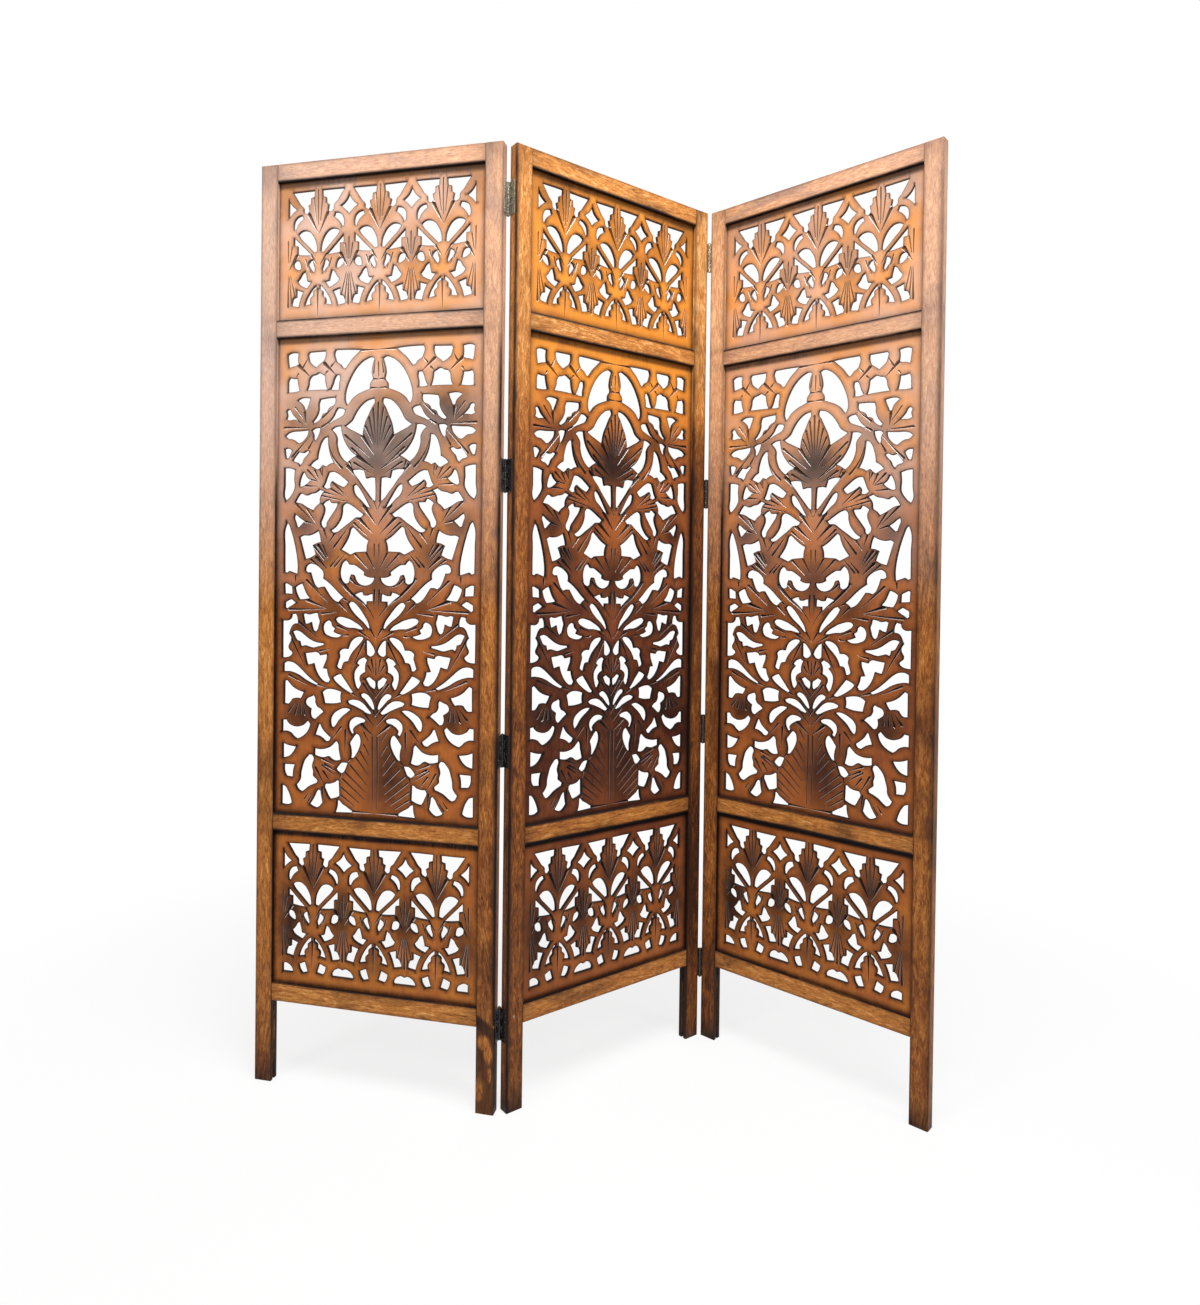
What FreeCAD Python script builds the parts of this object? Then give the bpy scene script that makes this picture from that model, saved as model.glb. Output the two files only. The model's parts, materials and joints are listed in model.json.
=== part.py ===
import FreeCAD, Part
import math
import os

# A folding screen of three carved and pierced wooden panels, in millimetres.
# Each panel is drawn flat in its own frame: x along its width from its left edge,
# y from its front face to its back, z up from the floor. The panels are then turned
# to the pose in which the screen stands, and the whole is centred over the origin.

# Sizes of a panel's frame
PANEL_WIDTH = 504.0
PANEL_HEIGHT = 1829.0
FRAME_DEPTH = 22.0
STILE_WIDTH = 36.0
RAIL_HEIGHT = 36.0
LEG_HEIGHT = 164.0
BOTTOM_FIELD_HEIGHT = 306.0
TOP_FIELD_HEIGHT = 272.0

# The carved boards and the grooves that hold them
BOARD_THICKNESS = 6.0
GROOVE_DEPTH = 8.0
BOARD_EDGE_ROOM = 0.8

# The tenons that join the rails to the stiles. They are as thick as the boards' grooves
# are wide and stand between the grooves, so that each mortise is a deeper stretch of
# the stile's groove.
TENON_LENGTH = 22.0
MORTISE_END_ROOM = 0.5

# The butt hinges, four at each joint
HINGES_PER_JOINT = 4
HINGE_HEIGHT = 63.5
HINGE_TOP_INSET = 67.0
LEAF_WIDTH = 17.0
LEAF_THICKNESS = 1.6
LEAF_GAP = 0.6
KNUCKLES = 5
KNUCKLE_GAP = 0.3
KNUCKLE_RADIUS = 3.2
KNUCKLE_FACE_GAP = 0.3
PIN_RADIUS = 1.5
PIN_RUNNING_GAP = 0.1
PIN_END_STAND = 1.0
# The barrels and pins are drawn with this many flats instead of round
BARREL_FLATS = 6

# How far each panel is turned about the vertical from the screen's own width, in degrees
LEFT_PANEL_TURN_DEG = -6.6
MIDDLE_PANEL_TURN_DEG = 43.25
RIGHT_PANEL_TURN_DEG = -36.35

# Places worked out from the sizes
FIELD_WIDTH = PANEL_WIDTH - 2 * STILE_WIDTH
BOARD_FRONT = (FRAME_DEPTH - BOARD_THICKNESS) / 2
BOTTOM_FIELD_FOOT = LEG_HEIGHT + RAIL_HEIGHT
MIDDLE_FIELD_FOOT = BOTTOM_FIELD_FOOT + BOTTOM_FIELD_HEIGHT + RAIL_HEIGHT
TOP_FIELD_FOOT = PANEL_HEIGHT - RAIL_HEIGHT - TOP_FIELD_HEIGHT
MIDDLE_FIELD_HEIGHT = TOP_FIELD_FOOT - RAIL_HEIGHT - MIDDLE_FIELD_FOOT
BOARD_INSET = GROOVE_DEPTH - BOARD_EDGE_ROOM
TENON_HEIGHT = RAIL_HEIGHT - 2 * GROOVE_DEPTH
PIN_PAST_EDGE = LEAF_THICKNESS + LEAF_GAP / 2
PIN_PAST_FACE = KNUCKLE_RADIUS + KNUCKLE_FACE_GAP
# The flats of a knuckle's bore stand clear of the pin's corners as it turns
BORE_CORNER_RADIUS = (PIN_RADIUS + PIN_RUNNING_GAP) / math.cos(math.pi / BARREL_FLATS)

RAIL_FEET = {
    "bottom_rail": LEG_HEIGHT,
    "lower_rail": MIDDLE_FIELD_FOOT - RAIL_HEIGHT,
    "upper_rail": TOP_FIELD_FOOT - RAIL_HEIGHT,
    "top_rail": PANEL_HEIGHT - RAIL_HEIGHT,
}
FIELDS = {
    "bottom_board": (BOTTOM_FIELD_FOOT, BOTTOM_FIELD_HEIGHT),
    "middle_board": (MIDDLE_FIELD_FOOT, MIDDLE_FIELD_HEIGHT),
    "top_board": (TOP_FIELD_FOOT, TOP_FIELD_HEIGHT),
}
PANEL_TURNS = {
    "left_panel": LEFT_PANEL_TURN_DEG,
    "middle_panel": MIDDLE_PANEL_TURN_DEG,
    "right_panel": RIGHT_PANEL_TURN_DEG,
}

# The vase and tree of the tall middle board. Its left half is drawn on squared paper
# and pricked through to the right half. A point is (squares across, squares up). The paper's
# squares from FIELD_ACROSS_SHARES lie across a field of the frame, and those from
# TREE_UP_SHARES lie up the middle field, so each point is a share of the field.
FIELD_ACROSS_SHARES = (4, 440)
TREE_UP_SHARES = (2, 943)
TREE_OPENING_SHARES = (
    # vase and the ground beside it
    ((18, 18), (18, 56), (41, 21)),
    ((23, 97), (47, 97), (43, 72), (25, 74)),
    ((18, 187), (42, 175), (80, 180), (50, 149), (18, 163)),
    ((90, 133), (137, 150), (148, 114), (90, 119)),
    ((80, 120), (98, 69), (63, 45), (50, 57)),
    ((101, 52), (109, 27), (80, 21)),
    ((113, 60), (145, 72), (146, 42), (125, 35)),
    ((178, 166), (191, 151), (168, 117)),
    ((168, 192), (201, 193), (171, 164)),
    ((98, 181), (125, 152), (90, 159)),
    # lower boughs
    ((70, 226), (88, 237), (109, 205), (90, 190)),
    ((125, 177), (138, 208), (168, 214)),
    ((161, 228), (178, 232), (213, 208)),
    ((189, 243), (202, 245), (219, 215)),
    ((107, 246), (148, 246), (147, 225), (111, 222)),
    ((22, 265), (66, 237), (22, 220)),
    ((34, 303), (97, 260), (20, 283)),
    ((129, 273), (147, 281), (173, 247)),
    ((197, 316), (199, 288), (184, 253), (174, 277)),
    ((142, 291), (195, 352), (183, 356), (143, 326)),
    ((67, 320), (116, 319), (108, 291), (119, 263), (87, 301)),
    ((42, 363), (108, 341), (60, 333)),
    ((120, 387), (125, 354), (107, 371)),
    ((62, 397), (95, 401), (88, 364)),
    ((17, 311), (17, 384), (49, 395), (31, 358), (40, 320)),
    # leaves round the waist of the tree
    ((20, 481), (21, 570), (26, 580), (50, 497), (49, 477)),
    ((44, 450), (61, 458), (77, 430), (54, 427)),
    ((53, 550), (94, 563), (89, 514), (66, 507)),
    ((67, 484), (76, 497), (108, 475), (151, 432), (140, 423), (96, 450)),
    ((162, 418), (173, 424), (206, 374)),
    ((146, 394), (194, 369), (148, 376)),
    ((174, 438), (213, 439), (200, 418)),
    ((143, 476), (156, 505), (216, 471), (195, 456), (168, 477)),
    ((144, 526), (167, 570), (204, 544), (200, 523), (162, 516)),
    # upper boughs
    ((157, 616), (192, 595), (123, 560)),
    ((104, 615), (137, 616), (111, 570), (99, 577)),
    ((43, 620), (54, 637), (107, 641), (83, 603)),
    ((19, 687), (42, 683), (41, 645), (19, 625)),
    ((36, 702), (73, 720), (53, 692)),
    ((20, 751), (71, 762), (49, 736)),
    ((75, 688), (108, 748), (127, 697)),
    ((121, 762), (142, 768), (149, 740), (176, 709), (156, 696)),
    ((105, 650), (117, 678), (159, 654), (125, 661)),
    ((178, 652), (206, 608), (172, 636)),
    ((167, 681), (216, 670), (217, 620)),
    # arch and the lattice in the corners
    ((151, 768), (187, 809), (212, 820), (190, 750)),
    ((155, 808), (151, 830), (171, 877), (212, 899), (203, 839)),
    ((127, 917), (184, 916), (146, 881)),
    ((69, 915), (107, 916), (94, 884)),
    ((25, 915), (48, 914), (26, 884)),
    ((26, 866), (46, 866), (51, 839), (25, 838)),
    ((67, 840), (75, 868), (107, 868), (113, 839)),
    ((119, 839), (130, 868), (138, 839)),
    ((97, 822), (130, 824), (85, 775)),
    ((130, 796), (151, 799), (117, 775)),
)

# The palmette band of the top and bottom boards. Half of one palmette is drawn on the same
# squared paper, as (squares from the palmette's middle, squares up), and turned over for
# its other half. A band has BAND_REPEATS palmettes, BAND_REPEAT_SHARE squares apart.
BAND_REPEATS = 3
BAND_REPEAT_SHARE = 132
BAND_OPENING_SHARES = (
    ((57, 283), (8, 283), (23, 242)),
    ((45, 200), (27, 207), (9, 188), (6, 162)),
    ((54, 195), (15, 157), (47, 160)),
    ((46, 108), (29, 128), (15, 105), (24, 92)),
    ((48, 91), (32, 86), (42, 57), (59, 60)),
    ((3, 100), (16, 62), (30, 59), (17, 85)),
)
# The openings that lie on the line between two palmettes, with their own other halves
BAND_STAR_SHARES = ((0, 272), (18, 249), (0, 232))
# The lowest row, which only the bottom board has room for
BAND_BLOCK_SHARES = ((30, 44), (15, 50), (9, 29), (23, 26))
BAND_DOME_SHARES = ((0, 43), (12, 43), (23, 26), (0, 26))
# The squares of the band that lie on each board's lower and upper edges
BAND_UP_SHARES = {"bottom_board": (4, 308), "top_board": (31, 301)}

BODIES = {}
PIN_PLACES = {}


def box(corner, size):
    """A box from its lowest corner, grown by size."""
    return Part.makeBox(*size, FreeCAD.Vector(*corner))


def flatted_rod(corner_radius, height, x, y, foot):
    """An upright rod with BARREL_FLATS flats, measured to its corners."""
    middle = FreeCAD.Vector(x, y, foot)
    reach = FreeCAD.Vector(corner_radius, 0, 0)
    turns = [360 * (index + 1 / 2) / BARREL_FLATS for index in range(BARREL_FLATS)]
    corners = [middle + FreeCAD.Rotation(turn, 0, 0).multVec(reach) for turn in turns]
    section = Part.Face(Part.makePolygon(corners + corners[:1]))
    return section.extrude(FreeCAD.Vector(0, 0, height))


def one_solid(shape):
    """The single solid that cuts and joins have left, with its flat faces merged."""
    return shape.removeSplitter().Solids[0]


def one_face(shape):
    """The single flat face that a join has left, with its edges in line merged."""
    return shape.removeSplitter().Faces[0]


def keep(body, name, shape):
    """Puts a piece on the list of a body, drawn in that panel's own frame."""
    BODIES.setdefault(body, {})[name] = shape


def stile(is_left):
    """An upright of the frame, from the floor to the top, with a groove along its whole
    inner edge and a mortise for each rail's tenon."""
    shape = box((0, 0, 0), (STILE_WIDTH, FRAME_DEPTH, PANEL_HEIGHT))
    groove_x = STILE_WIDTH - GROOVE_DEPTH if is_left else 0
    shape = shape.cut(box((groove_x, BOARD_FRONT, 0), (GROOVE_DEPTH, BOARD_THICKNESS, PANEL_HEIGHT)))
    mortise_depth = TENON_LENGTH + MORTISE_END_ROOM
    mortise_x = STILE_WIDTH - mortise_depth if is_left else 0
    for foot in RAIL_FEET.values():
        corner = (mortise_x, BOARD_FRONT, foot + GROOVE_DEPTH)
        shape = shape.cut(box(corner, (mortise_depth, BOARD_THICKNESS, TENON_HEIGHT)))
    shape = one_solid(shape)
    if not is_left:
        shape.translate(FreeCAD.Vector(PANEL_WIDTH - STILE_WIDTH, 0, 0))
    return shape


def rail(foot, has_board_above, has_board_below):
    """A cross bar of the frame with a tenon at each end and a groove for each board."""
    shape = box((STILE_WIDTH, 0, foot), (FIELD_WIDTH, FRAME_DEPTH, RAIL_HEIGHT))
    tenon_corner = (STILE_WIDTH - TENON_LENGTH, BOARD_FRONT, foot + GROOVE_DEPTH)
    tenon_size = (FIELD_WIDTH + 2 * TENON_LENGTH, BOARD_THICKNESS, TENON_HEIGHT)
    shape = shape.fuse(box(tenon_corner, tenon_size))
    groove_size = (FIELD_WIDTH, BOARD_THICKNESS, GROOVE_DEPTH)
    if has_board_above:
        shape = shape.cut(box((STILE_WIDTH, BOARD_FRONT, foot + RAIL_HEIGHT - GROOVE_DEPTH), groove_size))
    if has_board_below:
        shape = shape.cut(box((STILE_WIDTH, BOARD_FRONT, foot), groove_size))
    return one_solid(shape)


def outline(points):
    """A closed outline in the plane of a board's front face, from (x, z) points."""
    corners = [FreeCAD.Vector(x, BOARD_FRONT, z) for x, z in points]
    return Part.makePolygon(corners + corners[:1])


def board(foot, height, openings):
    """A thin board that fills a field of the frame and sits in the grooves round it, cut
    through by the openings of its pattern. Its lower edge stands on its groove's floor."""
    left = STILE_WIDTH - BOARD_INSET
    right = PANEL_WIDTH - left
    low = foot - GROOVE_DEPTH
    high = foot + height + BOARD_INSET
    edge = outline(((left, low), (right, low), (right, high), (left, high)))
    face = Part.makeFace([edge] + openings, "Part::FaceMakerBullseye")
    return face.extrude(FreeCAD.Vector(0, BOARD_THICKNESS, 0))


def whole_opening(left, right):
    """The outline of an opening from its two halves, which meet on the line between them."""
    return one_face(Part.Face(left).fuse(Part.Face(right))).OuterWire


def tree_openings(foot, height):
    """The openings of the vase and tree: each one of the left half, and its mirror image."""
    left_share, right_share = FIELD_ACROSS_SHARES
    low_share, high_share = TREE_UP_SHARES
    square_wide = FIELD_WIDTH / (right_share - left_share)
    square_high = height / (high_share - low_share)
    openings = []
    for shares in TREE_OPENING_SHARES:
        half = [((x - left_share) * square_wide, (z - low_share) * square_high) for x, z in shares]
        openings.append(outline([(STILE_WIDTH + x, foot + z) for x, z in half]))
        openings.append(outline([(PANEL_WIDTH - STILE_WIDTH - x, foot + z) for x, z in half]))
    return openings


def band_openings(name, foot, height):
    """The openings of a row of palmettes, each drawn as two mirrored halves, with a star
    between each two, and half a star at each end of the row."""
    low_share, high_share = BAND_UP_SHARES[name]
    square_wide = FIELD_WIDTH / (FIELD_ACROSS_SHARES[1] - FIELD_ACROSS_SHARES[0])
    square_high = height / (high_share - low_share)
    middle = PANEL_WIDTH / 2

    def placed(shares, centre, side):
        """An outline drawn to the right (side 1), or turned over to the left (side -1) and
        taken the other way round, so that all outlines run alike."""
        return outline([(middle + (centre + side * x) * square_wide, foot + (z - low_share) * square_high)
                        for x, z in shares[::side]])

    halves = list(BAND_OPENING_SHARES)
    between = [BAND_STAR_SHARES]
    if name == "bottom_board":
        halves.append(BAND_BLOCK_SHARES)
        between.append(BAND_DOME_SHARES)
    openings = []
    for index in range(BAND_REPEATS):
        centre = (index - (BAND_REPEATS - 1) / 2) * BAND_REPEAT_SHARE
        for side in (-1, 1):
            openings += [placed(shares, centre, side) for shares in halves]
    for index in range(BAND_REPEATS + 1):
        centre = (index - BAND_REPEATS / 2) * BAND_REPEAT_SHARE
        for shares in between:
            left, right = [placed(shares, centre, side) for side in (-1, 1)]
            if index == 0:
                openings.append(right)
            elif index == BAND_REPEATS:
                openings.append(left)
            else:
                openings.append(whole_opening(left, right))
    return openings


def hinge_feet():
    """The heights at which the hinges of a joint start, evenly spaced up the stiles."""
    lowest = LEG_HEIGHT - HINGE_HEIGHT / 2
    highest = PANEL_HEIGHT - HINGE_TOP_INSET - HINGE_HEIGHT
    step = (highest - lowest) / (HINGES_PER_JOINT - 1)
    return [lowest + index * step for index in range(HINGES_PER_JOINT)]


def knuckle_spans(first):
    """The heights of every second knuckle of a hinge, counted from first."""
    pitch = HINGE_HEIGHT / KNUCKLES
    return [(index * pitch + KNUCKLE_GAP / 2, pitch - KNUCKLE_GAP) for index in range(first, KNUCKLES, 2)]


def leaf(edge_x, outward_x, face_y, outward_y, foot, first_knuckle):
    """One leaf of a butt hinge: a plate on the edge of a stile, and its knuckles round the
    pin, which stands just clear of the stile's face."""
    pin_x = edge_x + outward_x * PIN_PAST_EDGE
    pin_y = face_y + outward_y * PIN_PAST_FACE
    plate_x = min(edge_x, edge_x + outward_x * LEAF_THICKNESS)
    plate_y = min(face_y, face_y - outward_y * LEAF_WIDTH)
    shape = box((plate_x, plate_y, foot), (LEAF_THICKNESS, LEAF_WIDTH, HINGE_HEIGHT))
    for rise, height in knuckle_spans(first_knuckle):
        strap_y = min(face_y, pin_y)
        shape = shape.fuse(box((plate_x, strap_y, foot + rise), (LEAF_THICKNESS, PIN_PAST_FACE, height)))
        shape = shape.fuse(flatted_rod(KNUCKLE_RADIUS, height, pin_x, pin_y, foot + rise))
    shape = shape.cut(flatted_rod(BORE_CORNER_RADIUS, HINGE_HEIGHT, pin_x, pin_y, foot))
    return one_solid(shape)


def hinge_pin(edge_x, outward_x, face_y, outward_y, foot):
    """A hinge's pin, which stands out a little past the end knuckles."""
    pin_x = edge_x + outward_x * PIN_PAST_EDGE
    pin_y = face_y + outward_y * PIN_PAST_FACE
    return flatted_rod(PIN_RADIUS, HINGE_HEIGHT + 2 * PIN_END_STAND, pin_x, pin_y, foot - PIN_END_STAND)


def make_panel(name):
    """The nine wooden pieces of one panel."""
    keep(name, name + "_left_stile", stile(True))
    keep(name, name + "_right_stile", stile(False))
    for rail_name, foot in RAIL_FEET.items():
        shape = rail(foot, rail_name != "top_rail", rail_name != "bottom_rail")
        keep(name, name + "_" + rail_name, shape)
    for board_name, (foot, height) in FIELDS.items():
        if board_name == "middle_board":
            openings = tree_openings(foot, height)
        else:
            openings = band_openings(board_name, foot, height)
        keep(name, name + "_" + board_name, board(foot, height, openings))


def make_hinges(joint, outer_body, outer_edge, middle_edge):
    """The four hinges between an outer panel and the middle one. The outer panel's leaves
    have the end knuckles, and the pins stay with them."""
    feet = hinge_feet()
    outer_leaves = [leaf(*outer_edge, foot, 0) for foot in feet]
    middle_leaves = [leaf(*middle_edge, foot, 1) for foot in feet]
    pins = [hinge_pin(*outer_edge, foot) for foot in feet]
    keep(outer_body, joint + "_leaves_on_" + outer_body, Part.makeCompound(outer_leaves))
    keep("middle_panel", joint + "_leaves_on_middle_panel", Part.makeCompound(middle_leaves))
    keep(outer_body, joint + "_pins", Part.makeCompound(pins))


def panel_placements():
    """Where each panel stands: turned by its own angle, and met at the hinge pins. The
    left joint's pins stand at the back faces, the right joint's at the front faces."""
    left_pin = (PIN_PAST_EDGE, FRAME_DEPTH + PIN_PAST_FACE)
    right_pin = (PIN_PAST_EDGE, -PIN_PAST_FACE)
    turns = {name: FreeCAD.Rotation(FreeCAD.Vector(0, 0, 1), angle) for name, angle in PANEL_TURNS.items()}
    middle_left_pin = turns["middle_panel"].multVec(FreeCAD.Vector(-left_pin[0], left_pin[1], 0))
    middle_right_pin = turns["middle_panel"].multVec(FreeCAD.Vector(PANEL_WIDTH + right_pin[0], right_pin[1], 0))
    own_left_pin = turns["left_panel"].multVec(FreeCAD.Vector(PANEL_WIDTH + left_pin[0], left_pin[1], 0))
    own_right_pin = turns["right_panel"].multVec(FreeCAD.Vector(-right_pin[0], right_pin[1], 0))
    feet = {
        "left_panel": middle_left_pin - own_left_pin,
        "middle_panel": FreeCAD.Vector(0, 0, 0),
        "right_panel": middle_right_pin - own_right_pin,
    }
    PIN_PLACES["left_joint"] = middle_left_pin
    PIN_PLACES["right_joint"] = middle_right_pin
    return {name: FreeCAD.Placement(feet[name], turns[name]) for name in turns}


def stand_up():
    """Turns every piece to the standing pose and centres the screen over the origin."""
    placements = panel_placements()
    for body, pieces in BODIES.items():
        for shape in pieces.values():
            shape.Placement = placements[body].multiply(shape.Placement)
    corners = []
    for placement in placements.values():
        for x in (0, PANEL_WIDTH):
            for y in (0, FRAME_DEPTH):
                corners.append(placement.multVec(FreeCAD.Vector(x, y, 0)))
    middle_x = (min(corner.x for corner in corners) + max(corner.x for corner in corners)) / 2
    middle_y = (min(corner.y for corner in corners) + max(corner.y for corner in corners)) / 2
    to_origin = FreeCAD.Vector(-middle_x, -middle_y, 0)
    for pieces in BODIES.values():
        for shape in pieces.values():
            shape.translate(to_origin)
    for joint in PIN_PLACES:
        PIN_PLACES[joint] = PIN_PLACES[joint] + to_origin


def main():
    """Makes every piece, stands the screen up and writes one file for each piece."""
    for name in PANEL_TURNS:
        make_panel(name)
    # Each edge is its place across the panel, the way out of it, its face and the way out of that
    make_hinges("left_joint", "left_panel", (PANEL_WIDTH, 1, FRAME_DEPTH, 1), (0, -1, FRAME_DEPTH, 1))
    make_hinges("right_joint", "right_panel", (0, -1, 0, -1), (PANEL_WIDTH, 1, 0, -1))
    stand_up()
    os.makedirs("parts", exist_ok=True)
    for pieces in BODIES.values():
        for name, shape in pieces.items():
            shape.exportStep("parts/" + name + ".step")
            print(name, shape.isValid(), len(shape.Solids), round(shape.Volume))
    for joint, place in PIN_PLACES.items():
        print(joint, round(place.x, 4), round(place.y, 4))


main()
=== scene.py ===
# %% [markdown]
# A folding screen of three carved panels is mostly wood that has been cut right through. The
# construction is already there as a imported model: stiles, rails, thin boards and hinges. This
# lesson dresses it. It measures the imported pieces, draws the openings and the carver's grooves
# as curves, turns them into surfaces with numpy, and finishes them as oiled and scorched wood.

# %% Load the frame and keep its size
import json
import math

import bpy
import numpy as np
from mathutils import Euler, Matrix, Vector
from mathutils.geometry import delaunay_2d_cdt


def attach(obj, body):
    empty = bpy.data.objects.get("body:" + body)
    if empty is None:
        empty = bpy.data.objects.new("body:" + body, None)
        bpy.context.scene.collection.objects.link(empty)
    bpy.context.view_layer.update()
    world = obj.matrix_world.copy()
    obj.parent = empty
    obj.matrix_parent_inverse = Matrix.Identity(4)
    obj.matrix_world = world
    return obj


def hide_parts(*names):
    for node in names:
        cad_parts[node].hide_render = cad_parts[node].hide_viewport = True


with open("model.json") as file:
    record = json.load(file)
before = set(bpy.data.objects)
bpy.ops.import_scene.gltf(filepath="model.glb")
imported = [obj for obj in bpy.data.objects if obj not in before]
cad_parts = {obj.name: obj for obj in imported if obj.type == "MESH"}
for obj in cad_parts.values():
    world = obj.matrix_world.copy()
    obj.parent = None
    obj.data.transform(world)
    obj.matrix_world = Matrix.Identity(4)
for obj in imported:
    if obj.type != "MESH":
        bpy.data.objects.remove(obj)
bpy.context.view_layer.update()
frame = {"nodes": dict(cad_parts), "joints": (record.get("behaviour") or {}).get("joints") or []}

# %% [markdown]
# Each panel stands turned about the vertical, so a carved board is easiest to draw in the
# panel's own directions: across it, through it from front to back, and up. The stand of a panel
# is worked out from its two stiles: the line between their middles gives the direction across.

# %% Where each panel stands
PANELS = ("left_panel", "middle_panel", "right_panel")
UP = np.array((0.0, 0.0, 1.0))


def node_points(node):
    """Every corner of a CAD node, as rows of x, y, z in metres."""
    mesh = frame["nodes"][node].data
    points = np.empty(len(mesh.vertices) * 3)
    mesh.vertices.foreach_get("co", points)
    return points.reshape(-1, 3)


def middle_of(points):
    """The middle of the box round some points."""
    return (points.min(axis=0) + points.max(axis=0)) / 2


def find_stand(panel):
    """A panel's stand: the corner where its front, its left edge and the floor meet, and its
    directions across, through and up as the rows of an array."""
    left = node_points(panel + "_left_stile")
    right = node_points(panel + "_right_stile")
    across = (middle_of(right) - middle_of(left)) * (1, 1, 0)
    across /= np.linalg.norm(across)
    through = np.cross(UP, across)
    corner = across * (left @ across).min() + through * (left @ through).min()
    return corner, np.array((across, through, UP))


STANDS = {panel: find_stand(panel) for panel in PANELS}


def to_room(panel, points):
    """Points from a panel's own frame, placed in the room: its corner, plus each of a point's
    numbers times its direction."""
    corner, directions = STANDS[panel]
    return corner + points @ directions


def to_panel(panel, points):
    """Points of the room in a panel's own frame, which turns to_room round."""
    corner, directions = STANDS[panel]
    return (points - corner) @ directions.T


def own_box(panel, node):
    """The lowest and highest corner of a node, in its panel's own frame."""
    points = to_panel(panel, node_points(node))
    return points.min(axis=0), points.max(axis=0)


# %% Sizes shared by the three panels, measured on the first
STILE_WIDTH, FRAME_DEPTH, PANEL_HEIGHT = own_box("left_panel", "left_panel_left_stile")[1]
PANEL_WIDTH = own_box("left_panel", "left_panel_right_stile")[1][0]
FIELD_WIDTH = PANEL_WIDTH - 2 * STILE_WIDTH
RAILS = {}
for rail in ("bottom_rail", "lower_rail", "upper_rail", "top_rail"):
    low, high = own_box("left_panel", "left_panel_" + rail)
    RAILS[rail] = (low[2], high[2])
FIELDS = {
    "bottom_board": (RAILS["bottom_rail"][1], RAILS["lower_rail"][0]),
    "middle_board": (RAILS["lower_rail"][1], RAILS["upper_rail"][0]),
    "top_board": (RAILS["upper_rail"][1], RAILS["top_rail"][0]),
}
BOARD_FRONT, BOARD_BACK = (corner[1] for corner in own_box("left_panel", "left_panel_middle_board"))
print("Panel", round(PANEL_WIDTH, 4), "by", round(PANEL_HEIGHT, 4), "fields", FIELDS)

# %% [markdown]
# The camera comes first, because the likeness is seen through it. Its place and lens were solved from the
# corners of the three panels. The lens is given in pixels of the picture's 1200 by 1305 frame, and its
# axis meets the picture a little above and left of the middle, which the camera's shift takes up.

# %% Camera
PICTURE_WIDTH, PICTURE_HEIGHT = 1200, 1305
CAMERA_PLACE = (0.1640, -1.7910, 1.0026)
CAMERA_YAW_DEG, CAMERA_PITCH_DEG, CAMERA_ROLL_DEG = 6.353, -0.640, 0.686
LENS_PIXELS = 871.35
AXIS_PIXEL = (574.98, 594.86)
SENSOR = 36.0


def make_camera():
    """A camera whose axis, lens and shift give the picture's framing."""
    camera_data = bpy.data.cameras.new("camera")
    camera_data.sensor_width = SENSOR
    camera_data.lens = LENS_PIXELS / PICTURE_HEIGHT * SENSOR
    camera_data.shift_x = (PICTURE_WIDTH / 2 - AXIS_PIXEL[0]) / PICTURE_HEIGHT
    camera_data.shift_y = (AXIS_PIXEL[1] - PICTURE_HEIGHT / 2) / PICTURE_HEIGHT
    camera = bpy.data.objects.new("camera", camera_data)
    yaw = Euler((0, 0, math.radians(CAMERA_YAW_DEG))).to_matrix()
    pitch = Euler((math.radians(90 + CAMERA_PITCH_DEG), 0, 0)).to_matrix()
    roll = Euler((0, 0, math.radians(CAMERA_ROLL_DEG))).to_matrix()
    camera.matrix_world = (yaw @ pitch @ roll).to_4x4()
    camera.location = CAMERA_PLACE
    bpy.context.scene.collection.objects.link(camera)
    bpy.context.scene.camera = camera
    return camera


lens = make_camera().data
print("Lens", round(lens.lens, 2), "mm, shift", round(lens.shift_x, 4), round(lens.shift_y, 4))

# %% [markdown]
# Shader maths reads best as plain sums. A small class wraps a node's output, so that adding or
# multiplying two of them makes the Math node. Every other kind of node comes from one method.

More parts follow.
